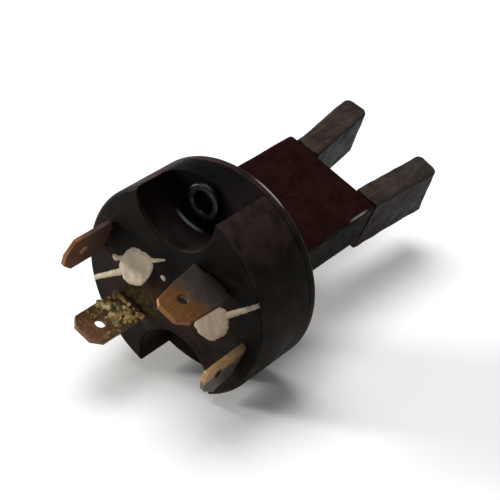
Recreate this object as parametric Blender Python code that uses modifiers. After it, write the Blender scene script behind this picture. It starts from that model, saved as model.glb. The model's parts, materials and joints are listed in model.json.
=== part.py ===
"""Two-pole knife blade switch.

A round moulded drum carries four push-on terminal tabs on its front face. A flat
rectangular block stands out of its rear, and two thick knife blades hinge on pins
in that block. Each blade has a thin contact arm that reaches forward into the drum
and wipes into a sprung jaw clip.

Row frame: origin at the centre of the drum's front face, +Y along the drum's axis
from the tabs to the blades, +Z from the notch to the screw pocket.
The block, the tabs and all the contact parts are turned by CONTACT_ROLL about +Y;
they are drawn in that turned frame, which an empty carries.
"""
import math

import bmesh
import bpy
from mathutils import Matrix, Vector

MM = 0.001

# Drum moulding
DRUM_RADIUS = 17.2 * MM
DRUM_DEPTH = 13.1 * MM
FRONT_WALL = 3.0 * MM
SIDE_WALL = 2.2 * MM
EDGE_ROUND = 0.5 * MM
CONTACT_ROLL = math.radians(23.3)

# Screw pocket at the top and a blind notch at the bottom, both open at the rim
POCKET_RADIUS = 7.5 * MM
POCKET_X = 1.1 * MM
POCKET_CUT = 9.0 * MM
POCKET_DEPTH = 7.0 * MM
POCKET_FILLET = 1.2 * MM
NOTCH_RADIUS = 6.7 * MM
NOTCH_X = -0.4 * MM
NOTCH_CUT = 9.9 * MM
NOTCH_FLARE = 0.8 * MM
NOTCH_DEPTH = 7.0 * MM
SCOOP_WALL = 1.4 * MM

# Rear cover, and the screws that hold it: inset from the rim, and angle from +X
COVER_THICKNESS = 1.6 * MM
COVER_SCREWS = ((3.68 * MM, 113.5), (3.61 * MM, 57.0), (4.01 * MM, 229.3), (3.90 * MM, 306.4))
COVER_SCREW_RADIUS = 0.9 * MM
COVER_SCREW_HEAD = 1.7 * MM
COVER_SCREW_FLOOR = 1.1 * MM
COVER_SINK_DEPTH = 0.8 * MM
SCREW_HEAD_DEPTH = 0.5 * MM
SCREW_SLOT = 0.4 * MM

# Eyelet that lines the mounting hole in the pocket's floor
EYELET_BORE = 1.7 * MM
EYELET_WALL = 0.5 * MM
EYELET_FLANGE = 3.1 * MM
EYELET_RIM = 0.7 * MM
EYELET_INSET = 3.9 * MM

# Block that carries the blades
BLOCK_WIDTH = 19.4 * MM
BLOCK_OFFSET = -1.3 * MM
BLOCK_THICKNESS = 9.0 * MM
BLOCK_END = 40.2 * MM
BLOCK_SIDE = 0.8 * MM
ROOM_ABOVE = 2.9 * MM
ROOM_BELOW = 3.0 * MM
BLOCK_REAR = 1.5 * MM
BLOCK_ROUND = 0.8 * MM
EAR_REACH = 2.0 * MM
EAR_DEPTH = 2.0 * MM
EAR_STEP = 0.3 * MM
EAR_POST = 0.7 * MM
EAR_POST_IN = 0.9 * MM
WEB_THICKNESS = 1.4 * MM
WEB_BOSS = 1.6 * MM
FLOOR_SHORT = 0.2 * MM
BLOCK_SCREWS_AT = (14.0 * MM, 24.0 * MM)
BLOCK_SCREW_RADIUS = 0.5 * MM
BLOCK_SCREW_HEAD = 1.2 * MM
BLOCK_SCREW_LENGTH = 5.0 * MM
BLOCK_SINK_FLOOR = 0.4 * MM
BARRIER_THICKNESS = 0.8 * MM

# Blades, their pivots and their contact arms
SIDE = {"left": -1, "right": 1}
POLE_INSET = {"left": 4.5 * MM, "right": 2.7 * MM}
REST_ANGLE = {"left": math.radians(7.2), "right": math.radians(3.2)}
TRAVEL = math.radians(8.0)
PIVOT_INSET = 6.2 * MM
BLADE_WIDTH = 4.6 * MM
BLADE_STEP = 0.2 * MM
BLADE_LENGTH = 17.6 * MM
BLADE_DROP = 2.25 * MM
BLADE_LEAN = 2.3 * MM
BLADE_ROUND = 0.45 * MM
BLADE_CHAMFER = 0.9 * MM
TANG_WIDTH = 2.4 * MM
FORK_LENGTH = 6.0 * MM
FORK_CHEEK = 0.2 * MM
PIN_RADIUS = 0.8 * MM
PIN_WALL = 0.5 * MM
PIN_END = 0.4 * MM
ARM_THICKNESS = 1.0 * MM
ARM_EYE_WALL = 0.35 * MM
ARM_TIP_Y = 9.0 * MM
ARM_TIP_WIDTH = 1.8 * MM
ARM_TAPER = 2.0 * MM
ARM_RIVET_RADIUS = 0.5 * MM
ARM_RIVET_AT = -4.2 * MM
WASHER_THICKNESS = 0.4 * MM

# Terminal tabs and the strip metal behind them
TAB_WIDTH = 6.3 * MM
TAB_THICKNESS = 0.8 * MM
TAB_CHAMFER = 1.4 * MM
TAB_HOLE_RADIUS = 0.85 * MM
TAB_HOLE_FROM_TIP = 3.7 * MM
TAB_NECK_WIDTH = 4.0 * MM
TAB_FOOT_SPREAD = 0.5 * MM
SIDE_TAB_INSET = 3.05 * MM
SIDE_TAB_LENGTH = 9.0 * MM
SIDE_FOOT_END = 5.0 * MM
FLAT_TAB_FROM_POLE = {"left": 0.7 * MM, "right": 0.1 * MM}
FLAT_TAB_Z = 8.4 * MM
FLAT_TAB_LENGTH = 10.8 * MM
FLAT_FOOT_END = 3.0 * MM
UPPER_TAB_ROOT = (4.3 * MM, 3.45 * MM)
STRAP_THICKNESS = 0.5 * MM
STRAP_EYE_WALL = 0.4 * MM
STRAP_ROOM = 0.2 * MM
STRAP_RIVET_Z = 5.6 * MM
JAW_MOUTH_Y = 12.0 * MM
JAW_LEAF = 0.5 * MM
JAW_INSIDE = 1.5 * MM
JAW_OUTSIDE = 1.2 * MM
JAW_LIP = 0.25 * MM
JAW_LIP_LENGTH = 1.4 * MM
JAW_RIVET_STEP = {"left": 2.8 * MM, "right": 3.6 * MM}
RIVET_SHANK = 0.7 * MM
RIVET_HEAD = 1.1 * MM
RIVET_HEAD_DEPTH = 0.6 * MM

# Sealing compound over the jaw rivets, with a bead that runs to the rim
SEAL_FROM_RIVET = 1.7 * MM
SEAL_Z = 1.35 * MM
SEAL_RADIUS = 2.8 * MM
SEAL_DEPTH = 0.6 * MM
SEAL_PROUD = 0.25 * MM
BEAD_WIDTH = 0.7 * MM
BEAD_ANGLE = math.radians(57.0)

GAP = 0.3 * MM
REACH = 60.0 * MM
THROUGH = 8.0 * MM

POCKET_Z = DRUM_RADIUS - POCKET_CUT + POCKET_RADIUS
NOTCH_Z = NOTCH_CUT - DRUM_RADIUS - NOTCH_RADIUS
EYELET_Z = DRUM_RADIUS - EYELET_INSET
COVER_SCREWS_AT = tuple(((DRUM_RADIUS - inset) * math.cos(math.radians(angle)),
                         (DRUM_RADIUS - inset) * math.sin(math.radians(angle)))
                        for inset, angle in COVER_SCREWS)
COVER_SCREW_LENGTH = DRUM_DEPTH - POCKET_DEPTH - COVER_SCREW_FLOOR
COVER_Y = DRUM_DEPTH - COVER_THICKNESS
SHELL_END = COVER_Y - GAP
CAVITY_RADIUS = DRUM_RADIUS - SIDE_WALL
HALF_BLOCK = BLOCK_THICKNESS / 2
BLOCK_LEFT = BLOCK_OFFSET - BLOCK_WIDTH / 2
BLOCK_RIGHT = BLOCK_OFFSET + BLOCK_WIDTH / 2
EAR_END = COVER_Y - GAP
EAR_Y = EAR_END - EAR_DEPTH
BLOCK_TOP = HALF_BLOCK - ROOM_ABOVE
CHANNEL_TOP = ROOM_ABOVE
CHANNEL_FLOOR = -ROOM_BELOW
PLATE_TOP = CHANNEL_FLOOR - GAP
BLOCK_SINK_TOP = PLATE_TOP - BLOCK_SINK_FLOOR
BLOCK_SCREW_FACE = BLOCK_SINK_TOP - GAP - SCREW_HEAD_DEPTH
POLE_X = {"left": BLOCK_LEFT + POLE_INSET["left"], "right": BLOCK_RIGHT - POLE_INSET["right"]}
WEB_X = (POLE_X["left"] + POLE_X["right"]) / 2
PIVOT_Y = BLOCK_END - PIVOT_INSET
SHOULDER = PIVOT_INSET + GAP
PIN_TOP = HALF_BLOCK - BLOCK_TOP / 2 - PIN_END / 4
PIN_FOOT = 0.1 * MM - HALF_BLOCK
STRAP_Z = CHANNEL_TOP - STRAP_ROOM - STRAP_THICKNESS
HALF_TANG = STRAP_Z - GAP
JAW_RIVET_Z = RIVET_HEAD + GAP - STRAP_Z
BLADE_TOP = HALF_BLOCK - BLADE_STEP
BLADE_FOOT = -HALF_BLOCK - BLADE_DROP
HUB_RADIUS = PIN_RADIUS + GAP + PIN_WALL
STRAP_WIDTH = 2 * (PIN_RADIUS + GAP + STRAP_EYE_WALL)
ARM_ROOT = PIN_RADIUS + GAP / 2 + ARM_EYE_WALL
FORK_WIDTH = 2 * (ARM_ROOT + FORK_CHEEK)
ARM_REACH = PIVOT_Y - ARM_TIP_Y
FOOT_Y = FRONT_WALL + GAP
BASE_Y = FOOT_Y + TAB_THICKNESS + GAP
SIDE_TAB_X = DRUM_RADIUS - SIDE_TAB_INSET
FLAT_TAB_X = {side: POLE_X[side] + FLAT_TAB_FROM_POLE[side] for side in SIDE}
JAW_RIVET_X = {side: POLE_X[side] + SIDE[side] * JAW_RIVET_STEP[side] for side in SIDE}
SEAL_X = {side: JAW_RIVET_X[side] - SIDE[side] * SEAL_FROM_RIVET for side in SIDE}


def clear_scene():
    """Remove every object, so that the script can be run again."""
    for old in list(bpy.data.objects):
        bpy.data.objects.remove(old, do_unlink=True)


def new_collection(name):
    """Make a collection in the scene."""
    found = bpy.data.collections.get(name) or bpy.data.collections.new(name)
    if found.name not in bpy.context.scene.collection.children:
        bpy.context.scene.collection.children.link(found)
    return found


clear_scene()
PARTS = new_collection("knife_blade_switch")
CUTTERS = new_collection("cutters")


def new_material(name, colour, roughness, metallic=0.0):
    """Make a Principled material."""
    made = bpy.data.materials.new(name)
    made.use_nodes = True
    shader = made.node_tree.nodes["Principled BSDF"]
    shader.inputs["Base Color"].default_value = (*colour, 1.0)
    shader.inputs["Roughness"].default_value = roughness
    shader.inputs["Metallic"].default_value = metallic
    return made


def empty(name, location=(0, 0, 0), rotation=(0, 0, 0), parent=None):
    """Add a guide that other objects are parented to."""
    guide = bpy.data.objects.new(name, None)
    guide.location = location
    guide.rotation_euler = rotation
    guide.parent = parent
    guide.empty_display_size = 5 * MM
    PARTS.objects.link(guide)
    return guide


def from_bmesh(name, mesh_data, parent=None):
    """Turn a bmesh into an object in the cutters' collection."""
    mesh = bpy.data.meshes.new(name)
    bmesh.ops.recalc_face_normals(mesh_data, faces=mesh_data.faces)
    mesh_data.to_mesh(mesh)
    mesh_data.free()
    made = bpy.data.objects.new(name, mesh)
    made.parent = parent
    made.hide_render = True
    made.display_type = "WIRE"
    CUTTERS.objects.link(made)
    return made


def box(name, low, high, parent=None):
    """Add a box between two corners."""
    mesh_data = bmesh.new()
    bmesh.ops.create_cube(mesh_data, size=1.0)
    size = Vector(high) - Vector(low)
    centre = (Vector(high) + Vector(low)) / 2
    bmesh.ops.scale(mesh_data, vec=size, verts=mesh_data.verts)
    bmesh.ops.translate(mesh_data, vec=centre, verts=mesh_data.verts)
    return from_bmesh(name, mesh_data, parent)


def rod(name, radius, start, end, parent=None, steps=24):
    """Add a cylinder between two points."""
    start, end = Vector(start), Vector(end)
    along = end - start
    turn = along.to_track_quat("Z", "Y").to_matrix().to_4x4()
    place = Matrix.Translation((start + end) / 2) @ turn
    mesh_data = bmesh.new()
    bmesh.ops.create_cone(mesh_data, cap_ends=True, segments=steps, radius1=radius,
                          radius2=radius, depth=along.length, matrix=place)
    return from_bmesh(name, mesh_data, parent)


def outline(name, points, thickness, turn, parent=None):
    """Add a flat plate from a closed outline, made as a filled 2D curve."""
    curve = bpy.data.curves.new(name, "CURVE")
    curve.dimensions = "2D"
    curve.fill_mode = "BOTH"
    curve.extrude = thickness / 2
    spline = curve.splines.new("POLY")
    spline.points.add(len(points) - 1)
    for point, (across, up) in zip(spline.points, points):
        point.co = (across, up, 0, 1)
    spline.use_cyclic_u = True
    drawn = bpy.data.objects.new(name + "_curve", curve)
    CUTTERS.objects.link(drawn)
    bpy.context.view_layer.update()
    solid = bpy.data.meshes.new_from_object(drawn.evaluated_get(
        bpy.context.evaluated_depsgraph_get()))
    mesh_data = bmesh.new()
    mesh_data.from_mesh(solid)
    bpy.data.meshes.remove(solid)
    bmesh.ops.remove_doubles(mesh_data, verts=mesh_data.verts, dist=0.00001)
    bmesh.ops.transform(mesh_data, matrix=turn, verts=mesh_data.verts)
    bpy.data.objects.remove(drawn)
    return from_bmesh(name, mesh_data, parent)


def arc(centre, radius, start, end, steps):
    """Points along an arc, from one angle to another."""
    angles = [start + (end - start) * step / steps for step in range(steps + 1)]
    return [(centre[0] + radius * math.cos(angle), centre[1] + radius * math.sin(angle))
            for angle in angles]


def turned(name, profile, place, parent=None, steps=32):
    """Add a turned solid: a closed profile of (radius, height) spun about Z."""
    mesh_data = bmesh.new()
    points = [mesh_data.verts.new((radius, 0, height)) for radius, height in profile]
    pairs = list(zip(points, points[1:]))
    if profile[0][0] > 0:
        pairs.append((points[-1], points[0]))
    for first, second in pairs:
        mesh_data.edges.new((first, second))
    mesh = bpy.data.meshes.new(name)
    mesh_data.to_mesh(mesh)
    mesh_data.free()
    made = bpy.data.objects.new(name, mesh)
    made.matrix_local = place
    made.parent = parent
    screw = made.modifiers.new("Turn", "SCREW")
    screw.steps = screw.render_steps = steps
    screw.use_merge_vertices = True
    screw.merge_threshold = 0.00001
    CUTTERS.objects.link(made)
    return made


def round_edges(part, width, angle=40.0, segments=2):
    """Round every edge that is sharper than the given angle."""
    bevel = part.modifiers.new("Round", "BEVEL")
    bevel.width = width
    bevel.segments = segments
    bevel.limit_method = "ANGLE"
    bevel.angle_limit = math.radians(angle)


def combine(part, others, operation):
    """Cut others out of a part, or join them to it."""
    for other in others:
        step = part.modifiers.new(other.name, "BOOLEAN")
        step.operation = operation
        step.solver = "EXACT"
        step.object = other
        other.hide_render = True
        other.display_type = "WIRE"
    return part


def cut(part, *others):
    """Cut others out of a part."""
    return combine(part, others, "DIFFERENCE")


def join(part, *others):
    """Join others to a part as one solid."""
    return combine(part, others, "UNION")


def keep(part, name, material):
    """Move a shape into the parts' collection, under its node's name."""
    part.name = name
    part.data.name = name
    part.data.materials.clear()
    part.data.materials.append(material)
    part.hide_render = False
    part.display_type = "TEXTURED"
    CUTTERS.objects.unlink(part)
    PARTS.objects.link(part)
    part.data.shade_smooth()
    part.data.set_sharp_from_angle(angle=math.radians(35))
    return part


PHENOLIC = new_material("black_phenolic", (0.020, 0.018, 0.016), 0.45)
MAROON = new_material("maroon_phenolic", (0.045, 0.014, 0.012), 0.5)
BRASS = new_material("tab_brass", (0.42, 0.25, 0.10), 0.4, 1.0)
SPRING_BRASS = new_material("spring_brass", (0.50, 0.36, 0.16), 0.35, 1.0)
COPPER = new_material("arm_copper", (0.55, 0.25, 0.14), 0.35, 1.0)
BLADE_METAL = new_material("blade_metal", (0.10, 0.085, 0.07), 0.55, 0.8)
STEEL = new_material("fastener_steel", (0.30, 0.29, 0.28), 0.4, 1.0)
SEALANT = new_material("cream_sealant", (0.55, 0.48, 0.36), 0.7)
FIBRE = new_material("barrier_fibre", (0.20, 0.06, 0.04), 0.8)

CONTACTS = empty("contact_frame", rotation=(0, CONTACT_ROLL, 0))


def scoop(name, x, z, radius, start, end):
    """A round cutter or boss along the drum's axis."""
    return rod(name, radius, (x, start, z), (x, end, z), steps=48 if radius > 4 * MM else 20)


def notch_cutter(name, start, end, grow=0.0):
    """The notch: a round end that flares towards the rim."""
    radius = NOTCH_RADIUS + grow
    mouth = radius + NOTCH_FLARE
    depth = DRUM_RADIUS + 2 * MM
    points = arc((NOTCH_X, NOTCH_Z), radius, math.pi, 0, 20)
    points += [(NOTCH_X + mouth, -depth), (NOTCH_X - mouth, -depth)]
    upright = Matrix.Translation((0, (start + end) / 2, 0)) @ Matrix.Rotation(math.pi / 2, 4, "X")
    return outline(name, points, end - start, upright)


def drum_cavity():
    """The hollow inside the drum, with bosses left standing in it."""
    past = DRUM_DEPTH + 2 * MM
    hollow = rod("cavity", CAVITY_RADIUS, (0, FRONT_WALL, 0), (0, past, 0), steps=64)
    low, high = FRONT_WALL - MM, past + MM
    cut(hollow, scoop("pocket_boss", POCKET_X, POCKET_Z, POCKET_RADIUS + SCOOP_WALL, low, high),
        notch_cutter("notch_boss", low, high, SCOOP_WALL))
    for number, (x, z) in enumerate(COVER_SCREWS_AT[2:]):
        outer = Vector((x, 0, z)).normalized() * DRUM_RADIUS
        boss = scoop(f"screw_boss_{number}", x, z, COVER_SCREW_RADIUS + SCOOP_WALL, low, high)
        fin = rod(f"screw_fin_{number}", COVER_SCREW_RADIUS + SCOOP_WALL / 2,
                  (x, high, z), (x, low, z))
        fin.location = (outer - Vector((x, 0, z))) * 0.5
        cut(hollow, boss, fin)
    for side, edge in (("left", BLOCK_LEFT - EAR_REACH / 2), ("right", BLOCK_RIGHT + EAR_REACH / 2)):
        for end in (-1, 1):
            at = end * (HALF_BLOCK - EAR_POST_IN)
            post = box(f"ear_post_{side}_{end}", (edge - EAR_POST, low, at - EAR_POST),
                       (edge + EAR_POST, EAR_Y - GAP, at + EAR_POST), CONTACTS)
            cut(hollow, post)
    return hollow


def seal_channel(side, width, radius, start, end, name):
    """The round recess and straight groove that hold one seal, grown or shrunk to suit."""
    sign = SIDE[side]
    centre = Vector((SEAL_X[side], 0, sign * SEAL_Z))
    course = Vector((math.cos(BEAD_ANGLE), 0, math.sin(BEAD_ANGLE))) * sign
    round_part = rod(name, radius, (centre.x, start, centre.z), (centre.x, end, centre.z),
                     CONTACTS, 40)
    groove = box(name + "_groove", (0, start, -width / 2), (DRUM_RADIUS, end, width / 2), CONTACTS)
    groove.location = centre
    groove.rotation_euler = (0, -math.atan2(course.z, course.x), 0)
    return join(round_part, groove)


def tab_slots():
    """The slots in the front wall that the tabs' necks pass through."""
    across = TAB_NECK_WIDTH / 2 + GAP
    thick = TAB_THICKNESS / 2 + GAP
    low, high = -MM, FRONT_WALL + MM
    slots = []
    for side, sign in SIDE.items():
        x = sign * SIDE_TAB_X
        slots.append(box(f"side_slot_{side}", (x - thick, low, -across), (x + thick, high, across),
                         CONTACTS))
        x, z = FLAT_TAB_X[side], sign * FLAT_TAB_Z
        slots.append(box(f"flat_slot_{side}", (x - across, low, z - thick),
                         (x + across, high, z + thick), CONTACTS))
    return slots


def make_drum_body():
    """The front moulding: a cup with the screw pocket, the notch and four slots."""
    drum = rod("drum_body", DRUM_RADIUS, (0, 0, 0), (0, SHELL_END, 0), steps=64)
    round_edges(drum, EDGE_ROUND)
    pocket = scoop("pocket", POCKET_X, POCKET_Z, POCKET_RADIUS, -5 * MM, POCKET_DEPTH)
    round_edges(pocket, POCKET_FILLET, segments=3)
    cut(drum, drum_cavity(), pocket, notch_cutter("notch", -MM, NOTCH_DEPTH), *tab_slots())
    for side, sign in SIDE.items():
        x, z = JAW_RIVET_X[side], -sign * JAW_RIVET_Z
        cut(drum, seal_channel(side, BEAD_WIDTH + 2 * GAP, SEAL_RADIUS + GAP, -MM,
                               SEAL_DEPTH - SEAL_PROUD + GAP, f"seal_recess_{side}"),
            rod(f"rivet_sink_{side}", RIVET_HEAD + GAP, (x, -MM, z), (x, 2 * RIVET_HEAD_DEPTH
                + SEAL_DEPTH, z), CONTACTS),
            rod(f"rivet_way_{side}", RIVET_SHANK + GAP, (x, -MM, z), (x, FRONT_WALL + MM, z),
                CONTACTS, 24),
            rod(f"foot_rivet_sink_{side}", RIVET_HEAD + GAP,
                (POLE_X[side], FRONT_WALL - RIVET_HEAD_DEPTH - GAP, sign * STRAP_RIVET_Z),
                (POLE_X[side], FRONT_WALL + MM, sign * STRAP_RIVET_Z), CONTACTS))
    cut(drum, scoop("eyelet_way", POCKET_X, EYELET_Z, EYELET_BORE + EYELET_WALL + GAP,
                    POCKET_DEPTH - MM, DRUM_DEPTH + MM))
    for number, (x, z) in enumerate(COVER_SCREWS_AT):
        cut(drum, scoop(f"pilot_{number}", x, z, COVER_SCREW_RADIUS + GAP,
                        DRUM_DEPTH - COVER_SCREW_LENGTH - GAP, DRUM_DEPTH + MM))
    keep(drum, "drum_body", PHENOLIC)


def make_rear_cover():
    """The disc that closes the drum, with a window for the block."""
    cover = rod("rear_cover", DRUM_RADIUS, (0, COVER_Y, 0), (0, DRUM_DEPTH, 0), steps=64)
    round_edges(cover, EDGE_ROUND)
    low, high = COVER_Y - MM, DRUM_DEPTH + MM
    window = box("window", (BLOCK_LEFT - GAP, low, -HALF_BLOCK - GAP),
                 (BLOCK_RIGHT + GAP, high, HALF_BLOCK + GAP), CONTACTS)
    room = BLOCK_SCREW_HEAD + GAP
    screw_room = box("screw_room", (WEB_X - room, low, BLOCK_SCREW_FACE - GAP),
                     (WEB_X + room, high, 0), CONTACTS)
    cut(cover, window, screw_room,
        scoop("cover_eyelet_way", POCKET_X, EYELET_Z, EYELET_BORE + EYELET_WALL + GAP, low, high))
    for number, (x, z) in enumerate(COVER_SCREWS_AT):
        cut(cover, scoop(f"screw_way_{number}", x, z, COVER_SCREW_RADIUS + GAP, low, high),
            scoop(f"screw_sink_{number}", x, z, COVER_SCREW_HEAD + GAP,
                  DRUM_DEPTH - COVER_SINK_DEPTH, high))
    keep(cover, "rear_cover", PHENOLIC)


def screw(name, radius, head, length, depth, place, parent=None):
    """A slotted screw, head at the origin's plane and shank along -Z."""
    profile = [(0, 0), (head, 0), (head, -depth), (radius, -depth),
               (radius, -length + radius), (0, -length)]
    body = turned(name, profile, place, parent, 20)
    slot = box(name + "_slot", (-head * 1.5, -SCREW_SLOT / 2, -depth * 0.55),
               (head * 1.5, SCREW_SLOT / 2, MM))
    slot.matrix_local = place
    slot.parent = parent
    return cut(body, slot)


def make_cover_screws():
    """Four screws through the rear cover into the drum."""
    facing = Matrix.Rotation(-math.pi / 2, 4, "X")
    for number, (x, z) in enumerate(COVER_SCREWS_AT, 1):
        place = Matrix.Translation((x, DRUM_DEPTH, z)) @ facing @ Matrix.Rotation(0.8 * number, 4, "Z")
        made = screw(f"cover_screw_{number}", COVER_SCREW_RADIUS, COVER_SCREW_HEAD,
                     COVER_SCREW_LENGTH, SCREW_HEAD_DEPTH, place)
        keep(made, f"cover_screw_{number}", STEEL)


def make_eyelet():
    """The flanged tube that a mounting screw passes through."""
    outer = EYELET_BORE + EYELET_WALL
    top = EYELET_RIM + GAP
    profile = [(EYELET_BORE, top - 0.25 * MM), (EYELET_BORE + 0.25 * MM, top),
               (EYELET_FLANGE - 0.3 * MM, top), (EYELET_FLANGE, top - 0.3 * MM),
               (EYELET_FLANGE, GAP), (outer, GAP), (outer, POCKET_DEPTH - DRUM_DEPTH),
               (EYELET_BORE, POCKET_DEPTH - DRUM_DEPTH)]
    place = Matrix.Translation((POCKET_X, POCKET_DEPTH, EYELET_Z)) @ Matrix.Rotation(
        math.pi / 2, 4, "X")
    keep(turned("mounting_eyelet", profile, place, None, 36), "mounting_eyelet", STEEL)


def tang_slot(side):
    """The opening in the block's rear wall that one blade's tang swings in."""
    sign = SIDE[side]
    inner = TANG_WIDTH / 2 + GAP
    outer = TANG_WIDTH / 2 + PIVOT_INSET * math.sin(TRAVEL) + GAP / 2
    edges = sorted((POLE_X[side] - sign * inner, POLE_X[side] + sign * outer))
    return box(f"tang_slot_{side}", (edges[0], BLOCK_END - BLOCK_REAR - MM, CHANNEL_FLOOR - MM),
               (edges[1], BLOCK_END + MM, HALF_TANG + GAP), CONTACTS)


def make_block_body():
    """The maroon block: a trough open underneath, with ears that the cover holds."""
    block = box("block_body", (BLOCK_LEFT, EAR_Y, -HALF_BLOCK), (BLOCK_RIGHT, BLOCK_END, HALF_BLOCK),
                CONTACTS)
    round_edges(block, BLOCK_ROUND, segments=3)
    ears = box("ears", (BLOCK_LEFT - EAR_REACH, EAR_Y, -HALF_BLOCK + EAR_STEP),
               (BLOCK_RIGHT + EAR_REACH, EAR_END, HALF_BLOCK - EAR_STEP), CONTACTS)
    join(block, ears)
    left, right = BLOCK_LEFT + BLOCK_SIDE, BLOCK_RIGHT - BLOCK_SIDE
    rear = BLOCK_END - BLOCK_REAR
    half_web = WEB_THICKNESS / 2
    for side, edges in (("left", (left, WEB_X - half_web)), ("right", (WEB_X + half_web, right))):
        channel = box(f"channel_{side}", (edges[0], EAR_Y - MM, CHANNEL_FLOOR - MM),
                      (edges[1], rear, CHANNEL_TOP), CONTACTS)
        for number, y in enumerate(BLOCK_SCREWS_AT):
            cut(channel, rod(f"web_boss_{side}_{number}", WEB_BOSS, (WEB_X, y, -HALF_BLOCK - MM),
                             (WEB_X, y, HALF_BLOCK), CONTACTS))
        pin_hole = rod(f"pin_hole_{side}", PIN_RADIUS + GAP, (POLE_X[side], PIVOT_Y, 0),
                       (POLE_X[side], PIVOT_Y, PIN_TOP + PIN_END), CONTACTS)
        cut(block, channel, tang_slot(side), pin_hole)
    cut(block, box("floor_seat", (left, EAR_Y - MM, -HALF_BLOCK - MM),
                   (right, BLOCK_END + MM, CHANNEL_FLOOR), CONTACTS))
    for number, y in enumerate(BLOCK_SCREWS_AT):
        cut(block, rod(f"block_pilot_{number}", BLOCK_SCREW_RADIUS + GAP, (WEB_X, y, -HALF_BLOCK - MM),
                       (WEB_X, y, BLOCK_SCREW_LENGTH + MM + BLOCK_SCREW_FACE), CONTACTS, 16))
    keep(block, "block_body", MAROON)


def make_block_floor():
    """The plate that closes the trough and carries the pins' lower ends."""
    inset = BLOCK_SIDE + GAP
    plate = box("block_floor_plate", (BLOCK_LEFT + inset, EAR_Y, -HALF_BLOCK),
                (BLOCK_RIGHT - inset, BLOCK_END - FLOOR_SHORT, PLATE_TOP), CONTACTS)
    round_edges(plate, 0.15 * MM, segments=1)
    for side in SIDE:
        cut(plate, rod(f"plate_pin_hole_{side}", PIN_RADIUS + GAP, (POLE_X[side], PIVOT_Y, -REACH),
                       (POLE_X[side], PIVOT_Y, 0), CONTACTS))
    for number, y in enumerate(BLOCK_SCREWS_AT):
        cut(plate, rod(f"plate_way_{number}", BLOCK_SCREW_RADIUS + GAP, (WEB_X, y, -REACH),
                       (WEB_X, y, 0), CONTACTS, 16),
            rod(f"plate_sink_{number}", BLOCK_SCREW_HEAD + GAP, (WEB_X, y, -REACH),
                (WEB_X, y, BLOCK_SINK_TOP), CONTACTS))
    keep(plate, "block_floor_plate", MAROON)
    upside_down = Matrix.Rotation(math.pi, 4, "X")
    for number, y in enumerate(BLOCK_SCREWS_AT, 1):
        place = Matrix.Translation((WEB_X, y, BLOCK_SCREW_FACE)) @ upside_down
        made = screw(f"block_screw_{number}", BLOCK_SCREW_RADIUS, BLOCK_SCREW_HEAD,
                     BLOCK_SCREW_LENGTH, SCREW_HEAD_DEPTH, place, CONTACTS)
        keep(made, f"block_screw_{number}", STEEL)


def tab_outline(length, roots, neck_end):
    """A push-on tab's outline, tip at -length, shoulders at the face, neck behind."""
    half, neck = TAB_WIDTH / 2, TAB_NECK_WIDTH / 2
    shoulder = -GAP
    points = []
    for sign, root in ((1, roots[1]), (-1, roots[0])):
        edge = [(half - TAB_CHAMFER, -length), (half, -length + TAB_CHAMFER),
                (root, shoulder - TAB_CHAMFER), (root, shoulder), (neck, shoulder), (neck, neck_end)]
        points += edge if sign > 0 else [(-across, along) for across, along in reversed(edge)]
    return points


def tab_blank(name, length, roots, turn):
    """A tab with its hole, drawn flat and then turned into place."""
    blank = outline(name, tab_outline(length, roots, FOOT_Y + TAB_THICKNESS), TAB_THICKNESS,
                    turn, CONTACTS)
    hole_y = -length + TAB_HOLE_FROM_TIP
    hole = rod(name + "_hole", TAB_HOLE_RADIUS, turn @ Vector((0, hole_y, -TAB_THICKNESS)),
               turn @ Vector((0, hole_y, TAB_THICKNESS)), CONTACTS, 20)
    round_edges(blank, 0.1 * MM, segments=1)
    return cut(blank, hole)


def rivet_way(name, x, z):
    """A hole for a rivet's shank, along the drum's axis."""
    return rod(name, RIVET_SHANK + GAP, (x, 0, z), (x, THROUGH, z), CONTACTS)


def make_side_tab(side):
    """A vertical tab, bent inside the drum into a foot that meets the jaw clip."""
    sign = SIDE[side]
    turn = Matrix.Translation((sign * SIDE_TAB_X, 0, 0)) @ Matrix.Rotation(math.pi / 2, 4, "Y")
    even = (TAB_WIDTH / 2, TAB_WIDTH / 2)
    tab = tab_blank(f"tab_side_{side}", SIDE_TAB_LENGTH, even, turn)
    edges = sorted((sign * (SIDE_TAB_X - TAB_THICKNESS / 4), sign * SIDE_FOOT_END))
    foot = box(f"side_foot_{side}", (edges[0], FOOT_Y, -TAB_NECK_WIDTH / 2),
               (edges[1], FOOT_Y + TAB_THICKNESS, TAB_NECK_WIDTH / 2), CONTACTS)
    join(tab, foot)
    way = rivet_way(f"side_foot_hole_{side}", JAW_RIVET_X[side], -sign * JAW_RIVET_Z)
    keep(cut(tab, way), f"terminal_tab_{side}", BRASS)


def make_flat_tab(side, name, roots):
    """A level tab, bent inside the drum into a foot that meets the hinge strap."""
    sign = SIDE[side]
    turn = Matrix.Translation((FLAT_TAB_X[side], 0, sign * FLAT_TAB_Z))
    tab = tab_blank(name, FLAT_TAB_LENGTH, roots, turn)
    half = TAB_NECK_WIDTH / 2 + TAB_FOOT_SPREAD
    edges = sorted((sign * (FLAT_TAB_Z - TAB_THICKNESS / 4), sign * FLAT_FOOT_END))
    foot = box(name + "_foot", (FLAT_TAB_X[side] - half, FOOT_Y, edges[0]),
               (FLAT_TAB_X[side] + half, FOOT_Y + TAB_THICKNESS, edges[1]), CONTACTS)
    join(tab, foot)
    way = rivet_way(name + "_foot_hole", POLE_X[side], sign * STRAP_RIVET_Z)
    keep(cut(tab, way), name, BRASS)


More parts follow.
